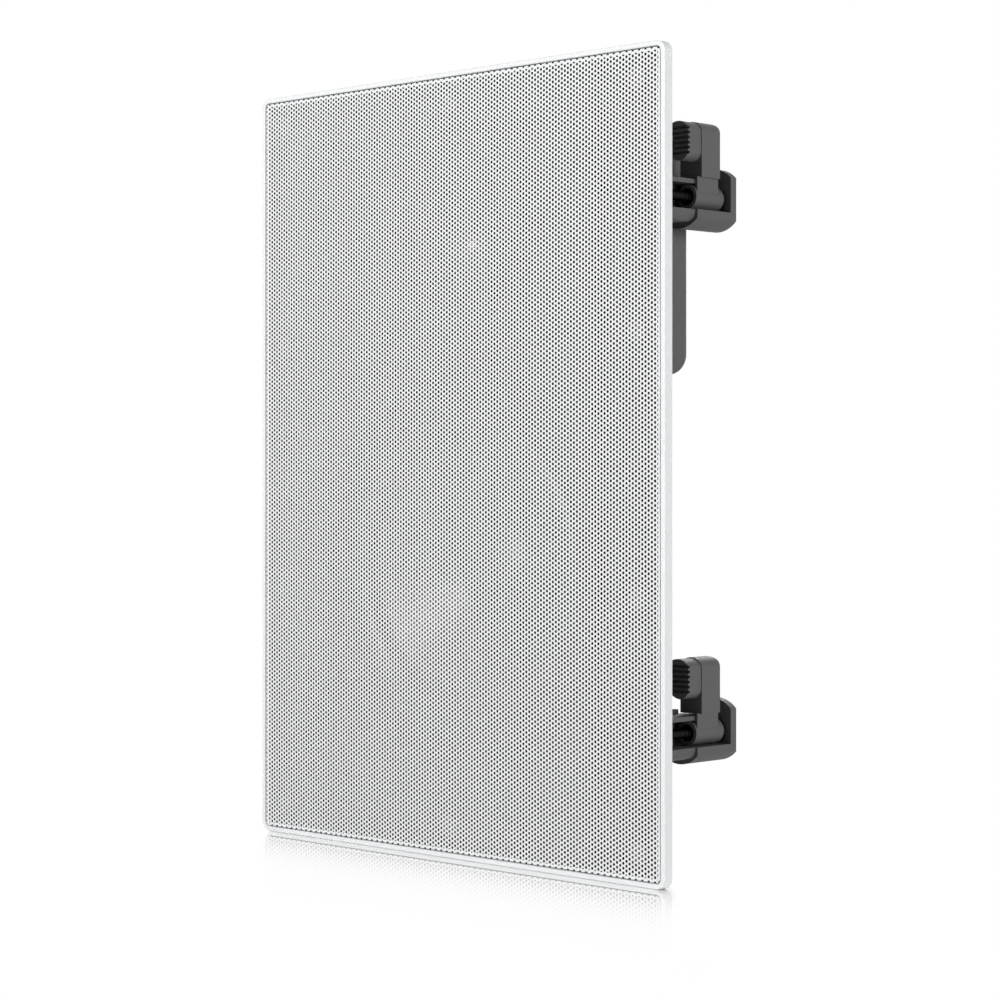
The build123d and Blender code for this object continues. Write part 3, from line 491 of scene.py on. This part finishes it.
# Butyl rubber is a soft satin black with a faint bloom, and rolls over in one smooth half-round.
butyl = grained(
    "butyl_rubber_moulded", "#2A2A2B", "#333334", tone=5.0, rough=(0.3, 0.38), grain=0.35, depth=0.01
)
roll_mid_r = 58.0
roll_r = 5.0
surround_t = 0.8
roll_inner_r = roll_r - surround_t
surround_outer_r = 65.5
surround_inner_r = 50.5
roll_points = 20
surround_front = [(surround_outer_r, basket_front - surround_t)]
surround_back = [(surround_outer_r, basket_front)]
for k in range(roll_points + 1):
    turn = math.pi * k / roll_points
    out, rise = math.cos(turn), math.sin(turn)
    surround_front.append((roll_mid_r + roll_r * out, basket_front - surround_t - roll_r * rise))
    surround_back.append((roll_mid_r + roll_inner_r * out, basket_front - roll_inner_r * rise))
surround_front.append((surround_inner_r, basket_front - surround_t))
surround_back.append((surround_inner_r, basket_front))
hung_ring(
    "woofer_surround",
    surround_front,
    surround_back,
    butyl,
)


# Woofer cone: an injection-moulded cone and dust cap of mica-filled polypropylene, glued to a foil former.
# The coil on the former runs in the motor's gap and drives the cone to and fro.

# Mica-filled polypropylene is dark grey with a satin shine, and pale flakes of about 0.5 mm under the skin.
mica_patch = 8.0
mica_rough = (0.3, 0.36)
flake_pitch = 0.5
flake_share = 0.3
flake_tone = "#56575A"
mica_plastic, mica_place = blank("polypropylene_mica_filled")
mica_colour, mica_drift = mottled(mica_plastic, mica_place, mica_patch, "#303134", "#3A3B3E")
mica_flakes = add(mica_plastic, "TexVoronoi", {"Vector": mica_place, "Scale": 1 / (flake_pitch * mm)})
glint_run = {1: 0.0, 2: flake_share, 3: 1.0, 4: 0.0}
mica_glint = add(mica_plastic, "MapRange", {0: mica_flakes.outputs["Distance"], **glint_run})
mica_tones = add(
    mica_plastic, "Mix", {0: mica_glint.outputs[0], 6: mica_colour, 7: linear(flake_tone)}, data_type="RGBA"
)
coat(
    mica_plastic,
    {
        "Base Color": mica_tones.outputs[2],
        "Roughness": worn_smooth(mica_plastic, mica_drift, *mica_rough),
    },
)

# Rolled aluminium foil is bright and slightly streaked round the former.
foil = grained(
    "aluminium_foil_rolled",
    "#B9BABC",
    "#CBCBCC",
    tone=2.0,
    rough=(0.24, 0.36),
    grain=0.2,
    depth=0.006,
    Metallic=1.0,
)
dress(mica_plastic, "woofer_cone", "woofer_dust_cap")
dress(foil, "woofer_coil_former")
dress(fine_coil, "woofer_voice_coil")


# Crossover: a green glass-fibre board with an inductor, two film capacitors and a cement resistor.
# It is screwed to posts inside a deep moulded cover, which black screws hold to the baffle by its ears.

# Solder mask is a clear green gloss over the copper areas, and darker where gaps of about 0.5 mm part them.
mask_patch = 6.0
copper_pitch = 9.0
copper_step = 0.05
gap_tone = "#17492D"
solder_mask, mask_place = blank("FR4_solder_mask")
mask_colour, _ = mottled(solder_mask, mask_place, mask_patch, "#1B5A37", "#216742")
mask_tracks = add(
    solder_mask,
    "TexVoronoi",
    {"Vector": mask_place, "Scale": 1 / (copper_pitch * mm)},
    distance="CHEBYCHEV",
    feature="DISTANCE_TO_EDGE",
)
gap_run = {1: 0.05, 2: 0.07, 3: 0.0, 4: 1.0}
mask_copper = add(solder_mask, "MapRange", {0: mask_tracks.outputs["Distance"], **gap_run})
mask_tones = add(
    solder_mask, "Mix", {0: mask_copper.outputs[0], 6: linear(gap_tone), 7: mask_colour}, data_type="RGBA"
)
coat(
    solder_mask,
    {
        "Base Color": mask_tones.outputs[2],
        "Roughness": 0.28,
        "Coat Weight": 0.3,
        "Normal": relief(solder_mask, mask_copper.outputs[0], copper_step),
    },
)

# Natural nylon is milky and slightly waxy.
natural_nylon = grained(
    "nylon_natural_moulded", "#D9D6C8", "#E2E0D4", tone=5.0, rough=(0.42, 0.52), grain=0.4, depth=0.01
)

# Thicker enamelled wire has coarser turns, which catch the light one by one.
coarse_coil = wound("copper_enamelled_coarse", "#AA5F31", "#BF7342", wire=0.9)

# Wrapped polyester film is a glossy yellow, with faint steps every 6 mm where the tape laps.
tape_patch = 5.0
tape_rough = (0.2, 0.3)
tape_lap = 6.0
tape_step = 0.06
tape_film, tape_place = blank("polyester_film_wrapped")
tape_colour, tape_drift = mottled(tape_film, tape_place, tape_patch, "#C4A22C", "#D2B13A")
tape_bands = {"Vector": tape_place, "Scale": math.pi / (10 * tape_lap * mm), "Distortion": 0.3}
tape_laps = add(tape_film, "TexWave", tape_bands, bands_direction="X", wave_profile="SAW")
coat(
    tape_film,
    {
        "Base Color": tape_colour,
        "Roughness": worn_smooth(tape_film, tape_drift, *tape_rough),
        "Normal": relief(tape_film, tape_laps.outputs["Fac"], tape_step),
    },
)

# Fired cement is a chalky off-white block with fine pits.
fired_cement = grained(
    "cement_cast_ceramic", "#CFCBBE", "#DDD9CC", tone=3.0, rough=(0.78, 0.92), grain=0.5, depth=0.06
)
dress(moulded_abs, "crossover_housing")
dress(black_oxide, "housing_screws")
dress(solder_mask, "crossover_board")
dress(zinc_plated, "board_screws")
dress(natural_nylon, "inductor_bobbin")
dress(coarse_coil, "inductor_winding")
dress(tape_film, "crossover_capacitors")
dress(fired_cement, "crossover_resistor")


# Input terminals: a block pushed into the cover's back, with a red and a black lever over coil springs.
# Pressing a lever opens the wire hole below it, and sleeved leads go on to the board and the drivers.

# Gloss ABS straight from a polished mould is even and shiny, with soft waves in the reflection.
gloss_red = grained(
    "ABS_polished_red", "#A81F1B", "#B4261F", tone=5.0, rough=(0.16, 0.22), grain=3.0, depth=0.02
)
gloss_black = grained(
    "ABS_polished_black", "#1E1E1F", "#242425", tone=5.0, rough=(0.16, 0.22), grain=3.0, depth=0.02
)

# Drawn spring wire is a bright hard grey, finely lined along its length.
spring_wire = grained(
    "spring_steel_drawn",
    "#8C8D90",
    "#A2A3A4",
    tone=1.0,
    rough=(0.2, 0.32),
    grain=0.15,
    depth=0.004,
    Metallic=1.0,
)

# Soft PVC sleeve is a satin black, slightly rippled along the wire.
soft_pvc = grained(
    "PVC_sleeve_extruded", "#262627", "#2E2E2F", tone=4.0, rough=(0.38, 0.5), grain=1.2, depth=0.03
)
spring_r = 2.2
spring_wire_r = 0.35
spring_front = 57.0
lever_front = 63.0
spring_turns = 5
spring_closing = 0.09
spring_z = 62.3
spring_places = {"red": -9.0, "black": 9.0}
turn_steps = 24
wire_sides = 8


def coil_spring(name, x):
    """Compression spring along Y with closed end turns, swept along its own wire."""
    steps = spring_turns * turn_steps
    low, high = spring_front + spring_wire_r, lever_front - spring_wire_r
    points, faces = [], []
    for step in range(steps + 1):
        share = step / steps
        climb = share - spring_closing * math.sin(2 * math.pi * share)
        y = low + (high - low) * min(max(climb, 0.0), 1.0)
        angle = 2 * math.pi * step / turn_steps
        for side in range(wire_sides):
            round_wire = 2 * math.pi * side / wire_sides
            r = spring_r + spring_wire_r * math.cos(round_wire)
            depth = y + spring_wire_r * math.sin(round_wire)
            points.append((x + r * math.cos(angle), depth, spring_z + r * math.sin(angle)))
    for step in range(steps):
        for side in range(wire_sides):
            after = (side + 1) % wire_sides
            near, far = step * wire_sides, (step + 1) * wire_sides
            faces.append([near + side, near + after, far + after, far + side])
    faces.append(list(range(wire_sides)))
    faces.append([steps * wire_sides + side for side in range(wire_sides)])
    mesh = mesh_of(name, points, faces)
    mesh.shade_smooth()
    return mesh


for colour, x in spring_places.items():
    made = piece(
        f"lever_spring_{colour}",
        coil_spring(f"lever_spring_{colour}", x),
        spring_wire,
        "speaker",
        [f"terminal_spring_{colour}"],
    )
    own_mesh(made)
dress(moulded_abs, "terminal_block")
dress(gloss_red, "terminal_lever_red")
dress(gloss_black, "terminal_lever_black")
dress(tinned_brass, "terminal_contacts")
dress(soft_pvc, "woofer_leads", "tweeter_leads")


# Wall clamps: four dog-leg arms of filled nylon, each on a threaded bush that its long screw drives.
# Turning the screw swings the arm out over the wall board, and then draws its toothed jaw towards the flange.

# Glass-filled nylon is a satin dark grey, with short streaks where the fibres lie near the skin.
nylon_patch = 5.0
nylon_rough = (0.48, 0.6)
nylon_shine = 0.3
fibre_w = 0.3
fibre_stretch = 0.25
fibre_depth = 0.015
filled_nylon, nylon_place = blank("nylon_glass_filled")
nylon_colour, nylon_drift = mottled(filled_nylon, nylon_place, nylon_patch, "#5B5B5C", "#616162")
along_arm = {"Vector": nylon_place, "Scale": (1.0, 1.0, fibre_stretch)}
nylon_flow = add(filled_nylon, "Mapping", along_arm).outputs[0]
fibre_run = {"Vector": nylon_flow, "Scale": 1 / (fibre_w * mm), "Detail": 2.0}
nylon_fibres = add(filled_nylon, "TexNoise", fibre_run)
coat(
    filled_nylon,
    {
        "Base Color": nylon_colour,
        "Roughness": worn_smooth(filled_nylon, nylon_drift, *nylon_rough),
        "Specular IOR Level": nylon_shine,
        "Normal": relief(filled_nylon, nylon_fibres.outputs["Fac"], fibre_depth),
    },
)
clamp_x = 78.0
clamp_z = 102.0
clamp_places = {
    "upper_right": (clamp_x, clamp_z),
    "lower_right": (clamp_x, -clamp_z),
    "upper_left": (-clamp_x, clamp_z),
    "lower_left": (-clamp_x, -clamp_z),
}
thread_pitch = 2.0
thread_crest_r = 1.98
thread_core_r = 1.55
thread_root_r = 1.45
thread_crest_w = 0.36
thread_foot_w = 1.5
thread_front = 5.0
thread_runout = 0.5
thread_end = 1.5
screw_tip = 67.5
tip_len = 1.0
tip_bevel = 0.6
head_seat = 0.45
head_front = -1.75
head_r = 4.0
head_dome = 0.5
recess_arm = 2.3
recess_w = 0.9
recess_floor = -0.55
recess_taper = 0.7
recess_lead = 1.0
screw_sides = 24
screw_crease = 30.0


def machine_screw(name):
    """Pan-head screw along Y with a cross recess; its thread is a ridge wound on the core."""
    outline = [
        (0.0, head_front),
        (head_r - 3 * head_dome, head_front),
        (head_r - head_dome, head_front + 0.3 * head_dome),
        (head_r, head_front + 1.6 * head_dome),
        (head_r, head_seat),
        (thread_crest_r, head_seat),
        (thread_crest_r, thread_front),
        (thread_core_r, thread_front + thread_runout),
        (thread_core_r, screw_tip - tip_len),
        (thread_core_r - tip_bevel, screw_tip),
        (0.0, screw_tip),
    ]
    shape = bmesh.new()
    line = [shape.verts.new((r * mm, y * mm, 0.0)) for r, y in outline]
    edges = [shape.edges.new(pair) for pair in zip(line, line[1:])]
    bmesh.ops.spin(
        shape,
        geom=line + edges,
        cent=(0, 0, 0),
        axis=(0, 1, 0),
        angle=2 * math.pi,
        steps=screw_sides,
        use_merge=True,
    )
    bmesh.ops.remove_doubles(shape, verts=shape.verts, dist=0.01 * mm)
    bmesh.ops.recalc_face_normals(shape, faces=shape.faces)
    body = bpy.data.meshes.new(name)
    shape.to_mesh(body)
    shape.free()
    cutter = bmesh.new()
    for long_way in ((1, 0), (0, 1)):
        half_x = recess_arm if long_way[0] else recess_w / 2
        half_z = recess_arm if long_way[1] else recess_w / 2
        made = bmesh.ops.create_cube(cutter, size=1.0)["verts"]
        for vert in made:
            deep = vert.co.y > 0
            taper = recess_taper if deep else 1.0
            vert.co.x *= 2 * half_x * taper * mm
            vert.co.z *= 2 * half_z * taper * mm
            vert.co.y = (recess_floor if deep else head_front - recess_lead) * mm
    cross = bpy.data.meshes.new(name + "_recess")
    cutter.to_mesh(cross)
    cutter.free()
    head = bpy.data.objects.new(name + "_head", body)
    tool = bpy.data.objects.new(name + "_tool", cross)
    for made in (head, tool):
        bpy.context.scene.collection.objects.link(made)
    cut = head.modifiers.new("recess", "BOOLEAN")
    cut.operation = "DIFFERENCE"
    cut.solver = "EXACT"
    cut.use_self = True
    cut.object = tool
    bpy.context.view_layer.update()
    turned = bpy.data.meshes.new_from_object(head.evaluated_get(bpy.context.evaluated_depsgraph_get()))
    bpy.data.objects.remove(head)
    bpy.data.objects.remove(tool)
    shape = bmesh.new()
    shape.from_mesh(turned)
    turns = (screw_tip - thread_end - thread_front) / thread_pitch
    steps = int(turns * screw_sides)
    section = (
        (thread_root_r, -thread_foot_w / 2),
        (thread_crest_r, -thread_crest_w / 2),
        (thread_crest_r, thread_crest_w / 2),
        (thread_root_r, thread_foot_w / 2),
    )
    rows = []
    for step in range(steps + 1):
        angle = 2 * math.pi * step / screw_sides
        y = thread_front + thread_pitch * step / screw_sides
        fade = min(1.0, step / screw_sides * 2, (steps - step) / screw_sides * 2)
        row = []
        for r, shift in section:
            reach = thread_root_r + (r - thread_root_r) * fade
            across, up = reach * math.cos(angle), reach * math.sin(angle)
            row.append(shape.verts.new((across * mm, (y + shift) * mm, up * mm)))
        rows.append(row)
    for near, far in zip(rows, rows[1:]):
        for i in range(len(section)):
            j = (i + 1) % len(section)
            shape.faces.new((near[i], near[j], far[j], far[i]))
    shape.faces.new(rows[0])
    shape.faces.new(rows[-1])
    bmesh.ops.recalc_face_normals(shape, faces=shape.faces)
    shape.to_mesh(turned)
    shape.free()
    turned.shade_smooth()
    turned.set_sharp_from_angle(angle=math.radians(screw_crease))
    return turned


screw_mesh = machine_screw("clamp_screw_thread")
for place, (x, z) in clamp_places.items():
    own = screw_mesh.copy()
    for vert in own.vertices:
        vert.co.x += x * mm
        vert.co.z += z * mm
    stood_for = [f"clamp_screw_{place}"]
    piece(f"threaded_screw_{place}", own, black_oxide, f"screw_{place}", stood_for)
    dress(filled_nylon, f"clamp_arm_{place}")
    dress(black_oxide, f"clamp_bush_{place}")
dress(spring_wire, "clamp_rings")


# Grille magnets: ten neodymium discs pressed into the chassis, right behind the steel sheet.
# They are nickel-plated and much paler than the baffle, so they show through the holes as pale spots.

# Satin nickel is a slightly warm mid-grey metal with a soft, blurred shine.
satin_nickel = grained(
    "nickel_satin_plated",
    "#8E8E8A",
    "#9A9994",
    tone=2.0,
    rough=(0.3, 0.4),
    grain=0.5,
    depth=0.004,
    Metallic=1.0,
)
dress(satin_nickel, "grille_magnets")


# Bezel: the thin white frame round the grille, moulded in one piece with a foot that rests on the wall.
# It is moulded white right through, so its edges are as white as its face.

# Satin white ABS is a clean, faintly cool white with a soft sheen along the lip.
white_abs = grained(
    "ABS_satin_white", "#F3F4F5", "#F6F7F8", tone=20.0, rough=(0.38, 0.46), grain=0.6, depth=0.008
)
dress(white_abs, "bezel")


# Grille: perforated steel sheet on a thin rim just inside its edge, powder-coated white, held by the magnets.
# Its holes of about 1.2 mm stand in staggered columns and are cut by the sheet's edge.
sheet_w = 215.3
sheet_h = 300.3
sheet_corner_r = 1.65
sheet_front = -4.05
sheet_t = 0.25
rim_inset = 0.4
rim_t = 0.6
rim_back = -2.6
hole_pitch = 1.759
column_pitch = 1.517
first_hole_x = -0.85
first_hole_z = 1.205
hole_r = 0.645
spare_rows = 3
strip_count = 4
corner_cuts = 4

# Powder coat is an even satin white with a very fine orange-peel.
powder_coat = grained(
    "steel_powder_coated_white", "#F4F5F6", "#F6F7F8", tone=25.0, rough=(0.42, 0.5), grain=0.8, depth=0.01
)


def outline_planes():
    """Straight cuts (place, outward direction) that leave the sheet's rounded rectangle."""
    cuts = [((s * sheet_w / 2, 0), (s, 0)) for s in (-1, 1)]
    cuts += [((0, s * sheet_h / 2), (0, s)) for s in (-1, 1)]
    for sx in (-1, 1):
        for sz in (-1, 1):
            for k in range(corner_cuts):
                angle = math.pi / 2 * (k + 0.5) / corner_cuts
                out = (sx * math.cos(angle), sz * math.sin(angle))
                middle = (sx * (sheet_w / 2 - sheet_corner_r), sz * (sheet_h / 2 - sheet_corner_r))
                cuts.append(((middle[0] + out[0] * sheet_corner_r, middle[1] + out[1] * sheet_corner_r), out))
    return cuts


def perforated_strip(name, first, last):
    """The sheet between two hole columns: six-sided holes, flats to their neighbours, cut at the outline."""
    rows = int(sheet_h / 2 / hole_pitch) + spare_rows
    columns = range(first - 1, last + 2)
    shape = bmesh.new()
    rings = {}
    for c in columns:
        for r in range(-rows, rows + 1):
            x = first_hole_x + c * column_pitch
            z = first_hole_z + (r + (0.5 if c % 2 else 0.0)) * hole_pitch
            rings[c, r] = [
                shape.verts.new(
                    (
                        (x + hole_r * math.cos(math.pi / 3 * k)) * mm,
                        sheet_front * mm,
                        (z + hole_r * math.sin(math.pi / 3 * k)) * mm,
                    )
                )
                for k in range(6)
            ]
    for (c, r), ring in rings.items():
        lift = 1 if c % 2 else 0
        above = rings.get((c, r + 1))
        upper = rings.get((c + 1, r + lift))
        lower = rings.get((c + 1, r + lift - 1))
        if above:
            shape.faces.new((ring[1], above[5], above[4], ring[2]))
        if upper:
            shape.faces.new((ring[0], upper[4], upper[3], ring[1]))
        if lower:
            shape.faces.new((ring[5], lower[3], lower[2], ring[0]))
        if above and upper:
            shape.faces.new((ring[1], upper[3], above[5]))
        if upper and lower:
            shape.faces.new((ring[0], lower[2], upper[4]))
    ends = [first_hole_x + column * column_pitch for column in (first - 0.5, last + 0.5)]
    cuts = [((ends[0], 0), (-1, 0)), ((ends[1], 0), (1, 0))]
    for (x, z), (nx, nz) in cuts + outline_planes():
        bmesh.ops.bisect_plane(
            shape,
            geom=shape.verts[:] + shape.edges[:] + shape.faces[:],
            plane_co=(x * mm, 0, z * mm),
            plane_no=(nx, 0, nz),
            clear_outer=True,
            dist=1e-7,
        )
    grown = bmesh.ops.extrude_face_region(shape, geom=shape.faces[:], use_keep_orig=True)["geom"]
    backs = [v for v in grown if isinstance(v, bmesh.types.BMVert)]
    bmesh.ops.translate(shape, verts=backs, vec=(0, sheet_t * mm, 0))
    bmesh.ops.recalc_face_normals(shape, faces=shape.faces)
    mesh = bpy.data.meshes.new(name)
    shape.to_mesh(mesh)
    shape.free()
    return mesh


half_columns = int(sheet_w / 2 / column_pitch) + 1
bounds_at = [round(-half_columns + i * (2 * half_columns + 1) / strip_count) for i in range(strip_count + 1)]
for strip in range(strip_count):
    name = f"perforated_sheet_{strip}"
    mesh = perforated_strip(name, bounds_at[strip], bounds_at[strip + 1] - 1)
    piece(name, mesh, powder_coat, "grille", ["grille"])


def rounded_line(width, height, radius):
    """Corner-rounded rectangle as places (x, z), the same number for any size."""
    line = []
    for sx, sz, first in ((1, 1, 0), (-1, 1, 1), (-1, -1, 2), (1, -1, 3)):
        for k in range(corner_cuts + 1):
            angle = math.pi / 2 * (first + k / corner_cuts)
            line.append(
                (
                    sx * (width / 2 - radius) + radius * math.cos(angle),
                    sz * (height / 2 - radius) + radius * math.sin(angle),
                )
            )
    return line


rim_lines = [
    rounded_line(sheet_w - 2 * inset, sheet_h - 2 * inset, sheet_corner_r - inset)
    for inset in (rim_inset, rim_inset + rim_t)
]
rim_count = len(rim_lines[0])
rim_points = [(x, y, z) for line in rim_lines for y in (sheet_front + sheet_t, rim_back) for x, z in line]
rim_faces = []
for a, b in ((0, 1), (1, 3), (3, 2), (2, 0)):
    for i in range(rim_count):
        j = (i + 1) % rim_count
        rim_faces.append([a * rim_count + i, a * rim_count + j, b * rim_count + j, b * rim_count + i])
rim_mesh = mesh_of("grille_rim", rim_points, rim_faces)
piece("grille_rim", rim_mesh, powder_coat, "grille", ["grille"])


# Studio: the speaker stands on its lower edge on a pale polished floor in an all-white room.
# Three soft lamps light it: a broad one in front, one at its right and a broad one behind for the back.
floor_z = -152.5
floor_size = 8.0
panel_front = -4.5
room_fill = 0.03
white = (1.0, 1.0, 1.0, 1.0)


def seen_straight(material):
    """One for what the camera sees, also mirrored or through glass, and zero for light that scatters."""
    rays = add(material, "LightPath").outputs
    pair = {0: rays["Is Camera Ray"], 1: rays["Is Glossy Ray"]}
    pair = {0: add(material, "Math", pair, operation="MAXIMUM").outputs[0], 1: rays["Is Transmission Ray"]}
    return add(material, "Math", pair, operation="MAXIMUM").outputs[0]


room = bpy.data.worlds.new("white_room")
bpy.context.scene.world = room
room.use_nodes = True
room.node_tree.nodes.clear()
level = add(room, "MapRange", {0: seen_straight(room), 3: room_fill, 4: 1.0})
glow = add(room, "Background", {"Color": white, "Strength": level.outputs[0]})
add(room, "OutputWorld", {"Surface": glow.outputs[0]})

# The polished floor is pure white, apart from a faint mirror image and a thin contact shade that both fade
# away in front of the panel's foot.
foot_half_w = 110.5
foot_soft = 3.0
foot_back_from = -2.0
foot_back_to = 6.0
mirror_at_foot = 0.85
mirror_fall = 20.0
shade_at_foot = 1.0
shade_fall = 7.0
floor_rough = 0.035
polished_floor, floor_place = blank("floor_white_polished")
floor_axes = add(polished_floor, "SeparateXYZ", {0: floor_place}).outputs
floor_skew = add(polished_floor, "Math", {0: floor_axes["X"], 1: floor_axes["Y"]}, operation="ADD")
floor_off = add(polished_floor, "Math", {0: floor_skew.outputs[0]}, operation="ABSOLUTE")
beside_run = {1: (foot_half_w - foot_soft) * mm, 2: foot_half_w * mm, 3: 1.0, 4: 0.0}
behind_run = {1: foot_back_from * mm, 2: foot_back_to * mm, 3: 1.0, 4: 0.0}
floor_beside = add(polished_floor, "MapRange", {0: floor_off.outputs[0], **beside_run}).outputs[0]
floor_behind = add(polished_floor, "MapRange", {0: floor_axes["Y"], **behind_run}).outputs[0]
floor_foot = add(polished_floor, "Math", {0: floor_beside, 1: floor_behind}, operation="MULTIPLY").outputs[0]


def near_foot(share, fall):
    """A share at the panel's foot that falls off towards the room over a length in millimetres."""
    ends = {1: (panel_front - fall) * mm, 2: panel_front * mm, 3: -1.0, 4: 0.0}
    run = add(polished_floor, "MapRange", {0: floor_axes["Y"], **ends}, clamp=False)
    fade = add(polished_floor, "Math", {0: run.outputs[0]}, operation="EXPONENT", use_clamp=True)
    full = add(polished_floor, "Math", {0: fade.outputs[0], 1: share}, operation="MULTIPLY")
    return add(polished_floor, "Math", {0: full.outputs[0], 1: floor_foot}, operation="MULTIPLY").outputs[0]


mirror_share = near_foot(mirror_at_foot, mirror_fall)
shade_share = near_foot(shade_at_foot, shade_fall)
floor_paint = add(polished_floor, "BsdfDiffuse", {"Color": linear("#F2F2F2")}).outputs[0]
floor_white = add(polished_floor, "Emission", {"Color": white, "Strength": 1.0}).outputs[0]
floor_gloss = add(polished_floor, "BsdfGlossy", {"Color": white, "Roughness": floor_rough}).outputs[0]
floor_shade = add(polished_floor, "MixShader", {0: shade_share, 1: floor_white, 2: floor_paint}).outputs[0]
floor_look = add(polished_floor, "MixShader", {0: mirror_share, 1: floor_shade, 2: floor_gloss}).outputs[0]
floor_seen = seen_straight(polished_floor)
floor_all = add(polished_floor, "MixShader", {0: floor_seen, 1: floor_paint, 2: floor_look})
add(polished_floor, "OutputMaterial", {"Surface": floor_all.outputs[0]})
floor_mesh = bpy.data.meshes.new("floor")
half = floor_size / 2
corners = [(x * half, y * half, floor_z * mm) for x, y in ((-1, -1), (1, -1), (1, 1), (-1, 1))]
floor_mesh.from_pydata(corners, [], [(0, 1, 2, 3)])
floor_mesh.materials.append(polished_floor)
floor = bpy.data.objects.new("floor", floor_mesh)
bpy.context.scene.collection.objects.link(floor)


def soft_lamp(name, location, size, watts):
    """Square lamp in metres that faces the speaker."""
    data = bpy.data.lights.new(name, "AREA")
    data.size = size
    data.energy = watts
    lamp = bpy.data.objects.new(name, data)
    lamp.location = location
    lamp.rotation_euler = (-Vector(location)).to_track_quat("-Z", "Y").to_euler()
    bpy.context.scene.collection.objects.link(lamp)


soft_lamp("front_softbox", location=(0.1, -2.0, 0.85), size=0.8, watts=36.2)
soft_lamp("right_softbox", location=(1.7, 0.35, 0.18), size=0.6, watts=13.4)
soft_lamp("back_softbox", location=(-0.7, 1.9, 0.5), size=0.8, watts=30.0)

camera_data = bpy.data.cameras.new("camera")
camera_data.lens = 93.39
camera_data.sensor_width = 36.0
camera_data.shift_x = 0.0525
camera_data.shift_y = -0.03515
camera = bpy.data.objects.new("camera", camera_data)
camera.location = (0.7138, -0.7138, 0.0)
camera.rotation_euler = (math.radians(90), 0.0, math.radians(45.18))
bpy.context.scene.collection.objects.link(camera)
bpy.context.scene.camera = camera
bpy.context.scene.view_settings.view_transform = "Standard"
